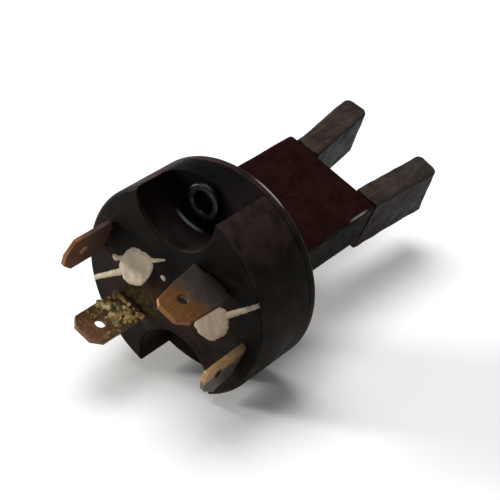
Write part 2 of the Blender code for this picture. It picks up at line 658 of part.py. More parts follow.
def make_jaw_clip(side):
    """Two sprung leaves that grip a contact arm's tip, on a riveted base."""
    sign = SIDE[side]
    pole = POLE_X[side]
    inner = ARM_THICKNESS / 2 + GAP
    outer = inner + JAW_LEAF
    near, far = pole - sign * JAW_INSIDE, pole + sign * JAW_OUTSIDE
    leaf_edges = sorted((near, far))
    base_edges = sorted((near, JAW_RIVET_X[side] + sign * (RIVET_HEAD + JAW_LIP)))
    rivet_z = -sign * JAW_RIVET_Z
    base_low, base_high = min(rivet_z - RIVET_HEAD, -outer), max(rivet_z + RIVET_HEAD, outer)
    clip = box(f"jaw_clip_{side}", (base_edges[0], BASE_Y, base_low),
               (base_edges[1], BASE_Y + JAW_LEAF, base_high), CONTACTS)
    for end in (-1, 1):
        heights = sorted((end * inner, end * outer))
        flare = sorted((end * (inner + JAW_LIP), end * (outer + JAW_LIP)))
        leaf = box(f"jaw_leaf_{side}_{end}", (leaf_edges[0], BASE_Y, heights[0]),
                   (leaf_edges[1], JAW_MOUTH_Y - JAW_LIP_LENGTH / 2, heights[1]), CONTACTS)
        lip = box(f"jaw_lip_{side}_{end}", (leaf_edges[0], JAW_MOUTH_Y - JAW_LIP_LENGTH, flare[0]),
                  (leaf_edges[1], JAW_MOUTH_Y, flare[1]), CONTACTS)
        join(clip, leaf, lip)
    cut(clip, rivet_way(f"jaw_hole_{side}", JAW_RIVET_X[side], rivet_z))
    keep(clip, f"jaw_clip_{side}", SPRING_BRASS)


def rivet(name, x, z, start, end, parent=CONTACTS):
    """A rivet along the drum's axis with a flat head at each end."""
    head = RIVET_HEAD_DEPTH
    profile = [(0, 0), (RIVET_HEAD, 0), (RIVET_HEAD, -head), (RIVET_SHANK, -head),
               (RIVET_SHANK, start - end + head), (RIVET_HEAD, start - end + head),
               (RIVET_HEAD, start - end), (0, start - end)]
    place = Matrix.Translation((x, start, z)) @ Matrix.Rotation(math.pi / 2, 4, "X")
    return turned(name, profile, place, parent, 20)


def make_rivets():
    """Rivets of the jaw clips, under the seals, and of the hinge straps."""
    jaw_start = SEAL_DEPTH - SEAL_PROUD + GAP
    jaw_end = BASE_Y + JAW_LEAF + GAP + RIVET_HEAD_DEPTH
    strap_start = FRONT_WALL - RIVET_HEAD_DEPTH
    strap_end = BASE_Y + STRAP_THICKNESS + GAP + RIVET_HEAD_DEPTH
    for side, sign in SIDE.items():
        jaw = rivet(f"jaw_rivet_{side}", JAW_RIVET_X[side], -sign * JAW_RIVET_Z, jaw_start, jaw_end)
        keep(jaw, f"jaw_rivet_{side}", STEEL)
        strap = rivet(f"strap_rivet_{side}", POLE_X[side], sign * STRAP_RIVET_Z, strap_start,
                      strap_end)
        keep(strap, f"strap_rivet_{side}", STEEL)


def make_hinge_strap(side):
    """The strip from a level tab's foot to the blade's pivot pin."""
    sign = SIDE[side]
    pole = POLE_X[side]
    half = STRAP_WIDTH / 2
    heights = sorted((sign * STRAP_Z, sign * (STRAP_Z + STRAP_THICKNESS)))
    strap = box(f"hinge_strap_{side}", (pole - half, BASE_Y, heights[0]),
                (pole + half, PIVOT_Y + HUB_RADIUS + STRAP_EYE_WALL * 2, heights[1]), CONTACTS)
    heights = sorted((sign * STRAP_Z, sign * (FLAT_TAB_Z - TAB_THICKNESS / 4)))
    foot = box(f"strap_foot_{side}", (pole - half, BASE_Y, heights[0]),
               (pole + half, BASE_Y + STRAP_THICKNESS, heights[1]), CONTACTS)
    join(strap, foot)
    cut(strap, rod(f"strap_pin_hole_{side}", PIN_RADIUS + GAP, (pole, PIVOT_Y, -REACH),
                   (pole, PIVOT_Y, REACH), CONTACTS),
        rivet_way(f"strap_rivet_hole_{side}", pole, sign * STRAP_RIVET_Z))
    keep(strap, f"hinge_strap_{side}", SPRING_BRASS)


def make_seal(side):
    """Sealing compound in its recess and groove, a little proud of the face."""
    seal = seal_channel(side, BEAD_WIDTH, SEAL_RADIUS, -SEAL_PROUD, SEAL_DEPTH - SEAL_PROUD,
                        f"seal_{side}")
    trim = rod(f"seal_trim_{side}", REACH, (0, -5 * MM, 0), (0, 5 * MM, 0), None, 64)
    cut(trim, rod(f"seal_limit_{side}", DRUM_RADIUS - GAP, (0, -6 * MM, 0), (0, 6 * MM, 0), None, 64))
    cut(seal, trim)
    keep(seal, f"seal_{side}", SEALANT)


def make_pivots():
    """Pivot pins in the block, and the washers that put friction on the blades."""
    for side in SIDE:
        pin = rod(f"pivot_pin_{side}", PIN_RADIUS, (POLE_X[side], PIVOT_Y, PIN_FOOT),
                  (POLE_X[side], PIVOT_Y, PIN_TOP), CONTACTS)
        round_edges(pin, 0.15 * MM, segments=1)
        keep(pin, f"pivot_pin_{side}", STEEL)
    for side, sign in SIDE.items():
        low = HALF_TANG + GAP
        high = low + WASHER_THICKNESS
        profile = [(PIN_RADIUS + GAP, high), (HUB_RADIUS, high), (HUB_RADIUS, low),
                   (PIN_RADIUS + GAP, low)]
        place = Matrix.Translation((POLE_X[side], PIVOT_Y, 0))
        if sign > 0:
            place = place @ Matrix.Rotation(math.pi, 4, "X")
        washer = turned(f"friction_washer_{side}", profile, place, CONTACTS)
        keep(washer, f"friction_washer_{side}", STEEL)


def make_pole_barrier():
    """The fibre card between the two poles inside the drum."""
    half = BARRIER_THICKNESS / 2
    barrier = box("pole_barrier", (WEB_X - half, FOOT_Y, GAP - HALF_BLOCK),
                  (WEB_X + half, EAR_Y - GAP, HALF_BLOCK - GAP), CONTACTS)
    keep(barrier, "pole_barrier", FIBRE)


def blade_outline():
    """The exposed blade seen from the side, deeper than the block, its end leaning out."""
    end = SHOULDER + BLADE_LENGTH
    foot = end + BLADE_LEAN
    return [(SHOULDER, BLADE_FOOT), (foot - BLADE_CHAMFER, BLADE_FOOT),
            (foot, BLADE_FOOT + BLADE_CHAMFER), (end, BLADE_TOP), (SHOULDER, BLADE_TOP)]


def make_blade(side):
    """A knife blade with its tang, hub and fork, turned to its rest angle."""
    sign = SIDE[side]
    pivot = empty(f"pivot_{side}", (POLE_X[side], PIVOT_Y, 0), (0, 0, -sign * REST_ANGLE[side]),
                  CONTACTS)
    sideways = Matrix.Rotation(math.pi / 2, 4, "X")
    along = Matrix.Rotation(math.pi / 2, 4, "Z")
    blade = outline(f"blade_{side}", blade_outline(), BLADE_WIDTH, along @ sideways, pivot)
    round_edges(blade, BLADE_ROUND, angle=30)
    relief = box(f"shoulder_relief_{side}", (-BLADE_WIDTH * 2, 0, -REACH),
                 (BLADE_WIDTH * 2, SHOULDER, REACH), pivot)
    relief.rotation_euler = (0, 0, sign * TRAVEL)
    cut(blade, relief)
    tang = box(f"tang_{side}", (-TANG_WIDTH / 2, 0, -HALF_TANG),
               (TANG_WIDTH / 2, SHOULDER + BLADE_CHAMFER, HALF_TANG), pivot)
    hub = rod(f"hub_{side}", HUB_RADIUS, (0, 0, -HALF_TANG), (0, 0, HALF_TANG), pivot, 32)
    fork = box(f"fork_{side}", (-FORK_WIDTH / 2, -FORK_LENGTH, -HALF_TANG),
               (FORK_WIDTH / 2, 0, HALF_TANG), pivot)
    join(blade, tang, hub, fork)
    room = ARM_THICKNESS / 2 + GAP
    cut(blade, box(f"fork_gap_{side}", (-FORK_WIDTH, -FORK_LENGTH - MM, -room),
                   (FORK_WIDTH, HUB_RADIUS + GAP, room), pivot),
        rod(f"hub_bore_{side}", PIN_RADIUS + GAP, (0, 0, -REACH), (0, 0, REACH), pivot),
        rod(f"arm_rivet_way_{side}", ARM_RIVET_RADIUS + GAP, (0, ARM_RIVET_AT, -REACH),
            (0, ARM_RIVET_AT, REACH), pivot, 16))
    keep(blade, f"blade_{side}", BLADE_METAL)
    make_contact_arm(side, pivot)
    make_arm_rivet(side, pivot)


def make_contact_arm(side, pivot):
    """The thin arm held in the blade's fork, with a rounded tip that meets the jaw."""
    tip, root = ARM_TIP_WIDTH / 2, ARM_ROOT
    points = arc((0, -ARM_REACH + tip), tip, -math.pi, 0, 8)
    points += [(tip, -FORK_LENGTH - ARM_TAPER), (root, -FORK_LENGTH)]
    points += arc((0, 0), root, 0, math.pi, 12)
    points += [(-root, -FORK_LENGTH), (-tip, -FORK_LENGTH - ARM_TAPER)]
    arm = outline(f"contact_arm_{side}", points, ARM_THICKNESS, Matrix.Identity(4), pivot)
    cut(arm, rod(f"arm_bore_{side}", PIN_RADIUS + GAP / 2, (0, 0, -MM), (0, 0, MM), pivot),
        rod(f"arm_rivet_hole_{side}", ARM_RIVET_RADIUS + GAP, (0, ARM_RIVET_AT, -MM),
            (0, ARM_RIVET_AT, MM), pivot, 16))
    keep(arm, f"contact_arm_{side}", COPPER)


def make_arm_rivet(side, pivot):
    """The flush rivet through the fork and the arm."""
    end = HALF_TANG - 0.1 * MM
    pin = rod(f"arm_rivet_{side}", ARM_RIVET_RADIUS, (0, ARM_RIVET_AT, -end), (0, ARM_RIVET_AT, end),
              pivot, 16)
    keep(pin, f"arm_rivet_{side}", STEEL)


make_drum_body()
make_rear_cover()
make_cover_screws()
make_eyelet()
make_block_body()
make_block_floor()
make_flat_tab("left", "terminal_tab_lower", (TAB_WIDTH / 2, TAB_WIDTH / 2))
make_flat_tab("right", "terminal_tab_upper", UPPER_TAB_ROOT)
make_rivets()
make_pivots()
make_pole_barrier()
for each_side in SIDE:
    make_side_tab(each_side)
    make_jaw_clip(each_side)
    make_hinge_strap(each_side)
    make_seal(each_side)
    make_blade(each_side)
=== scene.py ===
"""Looks for the two-pole knife blade switch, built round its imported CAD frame.

Sizes here are in millimetres, with the frame's own origin and axes: the centre of the
drum's front face, +Y along the drum's axis from the tabs to the blades, +Z up. Block,
blades and tabs are drawn square to the axes and then turned by TURN, the block's lean
about the drum's axis.
"""
import json
import math
import random

import bmesh
import bpy
from mathutils import Matrix, Vector, noise


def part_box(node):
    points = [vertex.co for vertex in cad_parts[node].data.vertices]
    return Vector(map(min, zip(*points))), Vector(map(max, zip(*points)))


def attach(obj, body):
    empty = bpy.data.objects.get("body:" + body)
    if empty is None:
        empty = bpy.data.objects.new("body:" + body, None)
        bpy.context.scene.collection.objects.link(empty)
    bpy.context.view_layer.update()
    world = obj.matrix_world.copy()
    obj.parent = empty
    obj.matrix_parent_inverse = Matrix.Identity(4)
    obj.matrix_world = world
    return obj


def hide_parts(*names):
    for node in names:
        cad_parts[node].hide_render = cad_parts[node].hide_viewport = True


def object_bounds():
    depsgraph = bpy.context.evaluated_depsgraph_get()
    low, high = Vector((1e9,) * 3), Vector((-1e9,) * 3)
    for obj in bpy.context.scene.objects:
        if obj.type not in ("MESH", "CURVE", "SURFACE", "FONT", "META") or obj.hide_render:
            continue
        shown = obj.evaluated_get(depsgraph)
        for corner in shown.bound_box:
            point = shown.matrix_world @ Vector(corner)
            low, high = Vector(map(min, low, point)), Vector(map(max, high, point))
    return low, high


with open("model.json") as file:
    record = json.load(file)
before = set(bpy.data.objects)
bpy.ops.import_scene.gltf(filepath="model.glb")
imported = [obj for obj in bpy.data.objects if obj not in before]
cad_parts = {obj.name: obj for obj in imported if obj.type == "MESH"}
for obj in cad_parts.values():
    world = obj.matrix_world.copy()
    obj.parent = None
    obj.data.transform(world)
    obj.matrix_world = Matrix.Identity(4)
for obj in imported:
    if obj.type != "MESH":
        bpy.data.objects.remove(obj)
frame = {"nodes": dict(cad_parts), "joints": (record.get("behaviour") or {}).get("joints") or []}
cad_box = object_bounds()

METRE = 1000.0
BASE = "base"

# ---- places taken from the frame


def span(node):
    """A CAD node's lowest and highest corner, in millimetres."""
    low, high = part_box(node)
    return low * METRE, high * METRE


JOINTS = {joint["name"]: joint for joint in frame["joints"]}
SWING = {"left": JOINTS["left_blade_swing"], "right": JOINTS["right_blade_swing"]}
SIGN = {"left": -1, "right": 1}
UP = Vector(SWING["left"]["axis"])
TURN = Matrix.Rotation(math.atan2(UP.x, UP.z), 4, "Y")
X_T, Z_T = TURN @ Vector((1, 0, 0)), TURN @ Vector((0, 0, 1))
PIVOT = {side: Vector(joint["pos_m"]) * METRE for side, joint in SWING.items()}
POLE_X = {side: (TURN.inverted() @ place).x for side, place in PIVOT.items()}
REST = {side: math.radians(-joint["range_deg"][0]) for side, joint in SWING.items()}
TRAVEL = math.radians(SWING["left"]["range_deg"][1] - SWING["left"]["range_deg"][0])

DRUM_R = span("drum_body")[1].x
COVER_Y, DRUM_DEPTH = span("rear_cover")[0].y, span("rear_cover")[1].y
BLOCK_FROM, BLOCK_END = span("block_body")[0].y, span("block_body")[1].y

# Drum
RIM_ROUND, REAR_ROUND, SEAM_ROUND, COVER_ROUND = 0.6, 0.55, 0.12, 0.1
FRONT_WALL, SIDE_WALL, SCOOP_WALL = 3.0, 2.2, 1.4
HAIR = 0.03  # seam between drum and cover
FIT = 0.3  # play round fitted pieces
OVER = 1.0  # overshoot of cutters
DRUM_STEPS = 176
NICK_AT, NICK = (17.1, 0.0, 5.2), [(0, -0.7), (0.55, -0.45), (0.7, 0.0), (0.5, 0.5), (0, 0.75)]
POCKET_AT, POCKET_R, POCKET_DEPTH, POCKET_FILLET = (1.1, 15.7), 7.5, 7.0, 1.3
POCKET_LIP = 0.2
NOTCH_AT, NOTCH_R, NOTCH_FLARE, NOTCH_LIP, NOTCH_DEPTH = (-0.4, -14.0), 6.7, 0.8, 0.4, 7.0
EYELET_AT, EYELET_BORE, EYELET_TUBE, EYELET_FLANGE = (1.1, 13.3), 1.7, 2.2, 3.1
EYELET_RISE, EYELET_ROLL, EYELET_EDGE, EYELET_END, EYELET_SINK = 1.0, 0.45, 0.35, 0.1, 0.02
COVER_SCREWS_AT = ((-5.4, 12.4), (7.4, 11.4), (-8.6, -10.0), (7.9, -10.7))
COVER_SCREW_R, COVER_HEAD_R, COVER_SCREW_L, COVER_SCREW_TURN = 0.9, 1.7, 5.0, 0.8
HEAD_SINK, HEAD_DEPTH, HEAD_ROUND, SLOT_HALF, SLOT_DEPTH = 0.8, 0.5, 0.18, 0.2, 0.3

# Block
BLOCK_WIDTH, BLOCK_OFFSET, BLOCK_THICK = 19.4, -1.3, 9.0
BLOCK_ROUND, BLOCK_SIDE, BLOCK_TOP, BLOCK_REAR = 0.8, 0.8, 1.6, 1.5
BLOCK_FLOOR = 1.5
EAR_REACH, EAR_DEPTH, EAR_INSET = 2.0, 2.0, 0.3
WEB = 1.4
PLATE_EDGE, PLATE_SHORT = 0.2, 0.2
BLOCK_SCREWS_AT = (14.0, 24.0)
BLOCK_SCREW_R, BLOCK_HEAD_R, BLOCK_SCREW_L = 0.5, 1.2, 5.0
BOSS_R, BOSS_SINK, SCREW_HOLE_R, SCREW_HOLE_TOP = 1.6, 0.5, 0.8, 1.5
HEAD_HOLE_R, HEAD_HOLE_DEPTH = 1.5, 0.8
BLOCK_CELL, BLOCK_WEAR, BLOCK_WEAR_SIZE, BLOCK_SEED = 1.3, 0.07, 4.5, 3.0

# Blades
BLADE_W, BLADE_L, BLADE_TOP, BLADE_FOOT = 4.6, 17.5, 4.28, -6.72
BLADE_ROUND, BLADE_CORNER, BLADE_LEAN, BLADE_FIT = 0.55, 1.25, 2.3, 0.12
TANG_W, TANG_H, HUB_R, PIN_R = 2.4, 3.8, 1.6, 0.8
FORK_W, FORK_L, ARM_GAP, ARM_RIVET_Y, ARM_RIVET_R = 3.0, 6.0, 0.8, -4.2, 0.5
BLADE_CELL, BLADE_WEAR, BLADE_WEAR_SIZE, BLADE_SEED = 0.62, 0.11, 2.6, 5.0
BLADE_ROOT = 1.0
RELIEF, SLIT, FAR = (9, 5), 5, 60  # reach of cutters

# Tabs
TAB_T, TAB_HOLE_R, TAB_EDGE, TAB_CELL = 0.8, 0.85, 0.14, 0.7
NECK, SHOULDER_Y, SLOT_SPARE = 2.0, -0.3, 0.7
FOOT_Y = FRONT_WALL + FIT
FOOT_END, FOOT_SPARE, FLAT_FOOT_TO, SIDE_FOOT_TO = FOOT_Y + TAB_T, 0.5, 3.0, 5.0
SIDE_TAB_X, FLAT_TAB_X, FLAT_TAB_Z = 14.15, 5.8, 8.4
TWIST_FROM, TWIST, TWIST_MEAN, TWIST_RISE = 1.0, 0.012, 0.4, 0.16
# Each tab: its side of the axis, whether it lies level, its shoulders, the outline of its tip
# and its hole. Places are (across, along) on a level tab and (up, along) on an upright one.
TABS = {
    "lower": (-1, True, (-3.15, 3.15),
              [(-3.15, -9.4), (-1.75, -10.75), (1.6, -10.75), (3.15, -9.2)], (0.1, -7.1)),
    "upper": (1, True, (-4.3, 3.45),
              [(-4.0, -1.8), (-3.7, -5.0), (-2.7, -9.95), (-1.7, -10.8), (1.7, -10.8), (3.1, -9.1)],
              (-0.5, -6.9)),
    "left": (-1, False, (-3.3, 3.15),
             [(-3.4, -7.2), (-1.6, -9.15), (0.6, -9.3), (3.15, -7.9)], (-0.3, -5.4)),
    "right": (1, False, (-3.9, 2.9),
              [(-4.2, -1.9), (-4.6, -4.7), (-1.5, -8.3), (0.4, -9.0), (2.4, -8.8)], (0.6, -5.6)),
}

# Crust on the lower tab: lumps near its root, grains along its edges, then larger lumps
# as (across, along, size)
LUMPS, GRAINS, CRUST_VOXEL, CRUST_SEED = 120, 26, 0.09, 11
CRUST_BLOBS = ((2.5, -8.3, 0.55), (2.2, -7.4, 0.4), (0.2, -4.6, 0.8), (-1.4, -3.6, 0.7),
               (1.7, -5.2, 0.6), (-2.3, -5.0, 0.6))

# Sealing compound: a dome, with a thin skirt outside its outline
SEAL_PROUD, SEAL_ROOT, SEAL_CELL, SEAL_MARGIN = 0.23, 0.3, 0.1, (3.6, 3.8)
SEAL_SKIRT, SEAL_DOME, SEAL_SLOPE, SEAL_GRIT, SEAL_FROM_RIM = 0.22, 0.34, 0.3, 0.018, 0.05

# Table, lamps (in metres) and camera
FLOOR_HALF, WORLD_LIGHT, LIT = 1.6, 0.27, (0.004, 0.015, 0.0)
KEY_POWER, KEY_SIZE, KEY_AT = 2.7, 0.10, (-0.40, -0.20, 0.09)
TOP_POWER, TOP_SIZE, TOP_AT = 2.8, 0.40, (-0.10, 0.06, 0.55)
AIM = Vector((6.97, 9.96, 5.58))
AZIMUTH, ELEVATION, DISTANCE = math.radians(38.8), math.radians(31.3), 218.9
LENS, SENSOR, CLIP = 105.2, 36.0, (0.01, 20.0)

LEFT, RIGHT = BLOCK_OFFSET - BLOCK_WIDTH / 2, BLOCK_OFFSET + BLOCK_WIDTH / 2
HALF_BLOCK = BLOCK_THICK / 2
CHANNEL_TOP, CHANNEL_FLOOR = HALF_BLOCK - BLOCK_TOP, BLOCK_FLOOR - HALF_BLOCK
WEB_X = (POLE_X["left"] + POLE_X["right"]) / 2
PIVOT_Y = PIVOT["left"].y
BLADE_START = BLOCK_END - PIVOT_Y + BLADE_FIT
SCREW_PLACES = [(WEB_X, y) for y in BLOCK_SCREWS_AT]
FINE_WEAR, WEAR_MEAN = 0.35, 0.45
HERE = Matrix.Identity(4)

# ---- solids


def quarter(steps):
    """Angles from 0 to a right angle."""
    return [math.pi / 2 * step / steps for step in range(steps + 1)]


def fillet(corner, radius, steps):
    """A rim's rounding on its low side, from (corner - radius, 0) out to (corner, radius)."""
    return [(corner - radius * (1 - math.sin(a)), radius * (1 - math.cos(a))) for a in quarter(steps)]


def link(name, bm):
    """Turn a bmesh into an object in the scene."""
    bmesh.ops.recalc_face_normals(bm, faces=bm.faces)
    mesh = bpy.data.meshes.new(name)
    bm.to_mesh(mesh)
    bm.free()
    made = bpy.data.objects.new(name, mesh)
    bpy.context.scene.collection.objects.link(made)
    return made


def settle_modifiers(piece):
    """Apply every modifier on a piece."""
    bpy.context.view_layer.update()
    seen = piece.evaluated_get(bpy.context.evaluated_depsgraph_get())
    mesh = bpy.data.meshes.new_from_object(seen)
    old = piece.data
    piece.modifiers.clear()
    piece.data = mesh
    bpy.data.meshes.remove(old)
    return piece


def box(low, high, place=HERE):
    """A box between two corners."""
    bm = bmesh.new()
    size, centre = Vector(high) - Vector(low), (Vector(high) + Vector(low)) / 2
    scale = Matrix.Diagonal((*size, 1.0))
    bmesh.ops.create_cube(bm, size=1.0, matrix=place @ Matrix.Translation(centre) @ scale)
    return link("box", bm)


def spin(profile, place, steps=48):
    """A turned solid: (radius, height) points spun about the place's Z axis."""
    bm = bmesh.new()
    rings = []
    for radius, height in profile:
        if radius < 1e-6:
            rings.append([bm.verts.new(place @ Vector((0, 0, height)))] * steps)
            continue
        angles = [2 * math.pi * step / steps for step in range(steps)]
        points = [Vector((radius * math.cos(a), radius * math.sin(a), height)) for a in angles]
        rings.append([bm.verts.new(place @ point) for point in points])
    if profile[0][0] > 1e-6:
        rings.append(rings[0])
    for near, far in zip(rings, rings[1:]):
        for step in range(steps):
            after = (step + 1) % steps
            corners = []
            for vert in (near[step], near[after], far[after], far[step]):
                if vert not in corners:
                    corners.append(vert)
            bm.faces.new(corners)
    return link("spin", bm)


def y_axis(x=0.0, z=0.0):
    """A place whose Z axis runs along +Y, through a point of the front plane."""
    return Matrix.Translation((x, 0, z)) @ Matrix.Rotation(-math.pi / 2, 4, "X")


def upright_at(x, y):
    """A place whose Z axis is upright, through a point."""
    return Matrix.Translation((x, y, 0))


def moved(piece, place):
    """Take a piece that was drawn square to the axes to its place."""
    piece.data.transform(place)
    return piece


def rod(radius, low, high, place, steps=32):
    """A plain round bar."""
    return spin([(0, low), (radius, low), (radius, high), (0, high)], place, steps)


def rods(radius, low, high, points, steps):
    """Upright bars through points of the block's plan."""
    return [rod(radius, low, high, upright_at(x, y), steps) for x, y in points]


def grown(outline, grow):
    """A convex outline moved outwards by a distance."""
    made = []
    count = len(outline)
    centre = Vector((sum(p[0] for p in outline), sum(p[1] for p in outline))) / count
    for index in range(count):
        here = Vector(outline[index])
        normals = []
        before, after = outline[index - 1], outline[(index + 1) % count]
        for a, b in ((before, outline[index]), (outline[index], after)):
            edge = (Vector(b) - Vector(a)).normalized()
            normal = Vector((edge.y, -edge.x))
            middle = (Vector(a) + Vector(b)) / 2
            normals.append(normal if normal.dot(middle - centre) > 0 else -normal)
        across = (normals[0] + normals[1]).normalized()
        made.append(here + across * grow / max(0.4, across.dot(normals[0])))
    return made


def prism(outline, levels, to_point):
    """A plate or cutter from an outline: levels are (height, outward growth) pairs."""
    bm = bmesh.new()
    rings = []
    for height, grow in levels:
        points = grown(outline, grow) if grow else outline
        rings.append([bm.verts.new(to_point(p[0], p[1], height)) for p in points])
    count = len(outline)
    for near, far in zip(rings, rings[1:]):
        for step in range(count):
            after = (step + 1) % count
            bm.faces.new((near[step], near[after], far[after], far[step]))
    bm.faces.new(rings[0])
    bm.faces.new(rings[-1])
    return link("prism", bm)


def combine(piece, others, operation):
    """Boolean a piece with others, which are used up."""
    for other in others:
        step = piece.modifiers.new("Step", "BOOLEAN")
        step.operation, step.solver, step.object = operation, "EXACT", other
    settle_modifiers(piece)
    for other in others:
        bpy.data.objects.remove(other)
    return piece


def cut(piece, *others):
    """Cut others out of a piece."""
    return combine(piece, others, "DIFFERENCE")


def join(piece, *others):
    """Join others to a piece."""
    return combine(piece, others, "UNION")


def soften(piece, width, segments=2, angle=40.0):
    """Round a piece's sharp edges."""
    bevel = piece.modifiers.new("Soft", "BEVEL")
    bevel.width, bevel.segments = width, segments
    bevel.limit_method, bevel.angle_limit = "ANGLE", math.radians(angle)
    return settle_modifiers(piece)


def slice_up(piece, pitch):
    """Cut a piece's faces into cells, so that its surface can be worn and bent."""
    bm = bmesh.new()
    bm.from_mesh(piece.data)
    for axis in range(3):
        values = [vert.co[axis] for vert in bm.verts]
        low, high = min(values), max(values)
        count = max(1, int((high - low) / pitch))
        normal = Vector([1.0 if axis == other else 0.0 for other in range(3)])
        for step in range(1, count):
            point = normal * (low + (high - low) * (step + 0.17) / count)
            bmesh.ops.bisect_plane(bm, geom=bm.verts[:] + bm.edges[:] + bm.faces[:], dist=0.004,
                                   plane_co=point, plane_no=normal)
    bmesh.ops.remove_doubles(bm, verts=bm.verts, dist=0.003)
    bm.to_mesh(piece.data)
    bm.free()
    return piece


def wear(piece, depth, size, seed, where=None):
    """Push a piece's surface in and out a little, along its normals."""
    mesh = piece.data
    shift = Vector((seed, seed * 1.7, -seed))
    moves = []
    for vert in mesh.vertices:
        at = vert.co / size + shift
        amount = noise.noise(at) + FINE_WEAR * noise.noise(at * 3.1)
        share = where(vert.co) if where else 1.0
        moves.append(vert.normal * (share * depth * (amount - WEAR_MEAN)))
    for vert, move in zip(mesh.vertices, moves):
        vert.co += move
    mesh.update()
    return piece


def finish(piece, name, body, slot, nodes=(), paint=None, sharp=32.0, even=False):
    """Bring a piece down to metres, paint it and let it ride on its body."""
    piece.name = piece.data.name = name
    piece.data.transform(Matrix.Scale(1 / METRE, 4))
    piece.data.shade_smooth()
    piece.data.set_sharp_from_angle(angle=math.radians(sharp))
    if even:
        piece.modifiers.new("Even", "WEIGHTED_NORMAL").keep_sharp = True
        settle_modifiers(piece)
    piece.data.materials.clear()
    piece.data.materials.append(PAINTS[paint or slot])
    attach(piece, body)
    if nodes:
        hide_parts(*nodes)


# ---- materials


PAINTS = {}


class Paint:
    """Builds one procedural material; places and scales are in millimetres."""

    def __init__(self, name, **constants):
        self.material = PAINTS[name] = bpy.data.materials.new(name)
        self.material.use_nodes = True
        self.tree = self.material.node_tree
        self.shader = self.tree.nodes["Principled BSDF"]
        coords = self.tree.nodes.new("ShaderNodeTexCoord")
        self.here = self.vector("SCALE", coords.outputs["Object"], scale=METRE)
        self.facing = coords.outputs["Normal"]
        for socket, value in constants.items():
            self.shader.inputs[socket.replace("_", " ")].default_value = value

    def feed(self, socket, value):
        """Link a value into a socket, or set it there."""
        if isinstance(value, bpy.types.NodeSocket):
            self.tree.links.new(value, socket)
        elif isinstance(value, (tuple, list, Vector)) and socket.type == "RGBA":
            socket.default_value = (*value[:3], 1.0)
        else:
            socket.default_value = value

    def vector(self, operation, a, b=None, scale=None):
        """A vector maths node."""
        node = self.tree.nodes.new("ShaderNodeVectorMath")
        node.operation = operation
        self.feed(node.inputs[0], a)
        if b is not None:
            self.feed(node.inputs[1], b)
        if scale is not None:
            self.feed(node.inputs["Scale"], scale)
        return node.outputs["Value" if operation in ("DOT_PRODUCT", "LENGTH", "DISTANCE") else 0]

    def maths(self, operation, a, b):
        """A maths node."""
        node = self.tree.nodes.new("ShaderNodeMath")
        node.operation = operation
        self.feed(node.inputs[0], a)
        self.feed(node.inputs[1], b)
        return node.outputs[0]

    def noise(self, size, detail, rough, stretch=None, shift=0.0):
        """Noise whose features are about size across, longer along stretch."""
        at = self.here
        if stretch:
            at = self.vector("MULTIPLY", at, stretch)
        if shift:
            at = self.vector("ADD", at, (shift, -shift, shift * 0.5))
        node = self.tree.nodes.new("ShaderNodeTexNoise")
        node.inputs["Scale"].default_value = 1.0 / size
        node.inputs["Detail"].default_value = detail
        node.inputs["Roughness"].default_value = rough
        self.feed(node.inputs["Vector"], at)
        return node.outputs[0]

    def remap(self, value, low, high, to_low=0.0, to_high=1.0):
        """Move a value smoothly from one range to another, clamped."""
        node = self.tree.nodes.new("ShaderNodeMapRange")
        node.interpolation_type = "SMOOTHSTEP"
        for socket, number in zip(node.inputs, (value, low, high, to_low, to_high)):
            self.feed(socket, number)
        return node.outputs[0]

    def mix(self, factor, a, b):
        """Mix two colours."""
        node = self.tree.nodes.new("ShaderNodeMix")
        node.data_type, node.blend_type = "RGBA", "MIX"
        self.feed(node.inputs[0], factor)
        self.feed(node.inputs[6], a)
        self.feed(node.inputs[7], b)
        return node.outputs[2]

    def along(self, direction):
        """The distance along a direction of the frame."""
        return self.vector("DOT_PRODUCT", self.here, tuple(direction))

    def near(self, point, radius, soft):
        """1 near a point, falling to 0."""
        gap = self.vector("DISTANCE", self.here, tuple(point))
        return self.remap(gap, radius, radius + soft, 1, 0)

    def ring(self, x=0.0, z=0.0):
        """The distance from a line along Y through a point of the front plane."""
        flat = self.vector("MULTIPLY", self.vector("SUBTRACT", self.here, (x, 0, z)), (1, 0, 1))
        return self.vector("LENGTH", flat)

    def both(self, *masks):
        """The product of several masks."""
        made = masks[0]
        for mask in masks[1:]:
            made = self.maths("MULTIPLY", made, mask)
        return made

    def either(self, a, b):
        """The larger of two masks."""
        return self.maths("MAXIMUM", a, b)

    def up(self, direction=(0, 0, 1)):
        """How far the surface faces a direction of the frame."""
        return self.vector("DOT_PRODUCT", self.facing, tuple(direction))

    def done(self, colour, roughness, *bumps, metallic=None):
        """Feed the shader. Bumps are (height, distance in mm) pairs."""
        self.feed(self.shader.inputs["Base Color"], colour)
        self.feed(self.shader.inputs["Roughness"], roughness)
        if metallic is not None:
            self.feed(self.shader.inputs["Metallic"], metallic)
        normal = None
        for height, depth in bumps:
            node = self.tree.nodes.new("ShaderNodeBump")
            node.inputs["Distance"].default_value = depth / METRE
            self.feed(node.inputs["Height"], height)
            if normal:
                self.feed(node.inputs["Normal"], normal)
            normal = node.outputs[0]
        if normal:
            self.feed(self.shader.inputs["Normal"], normal)
        return self.material


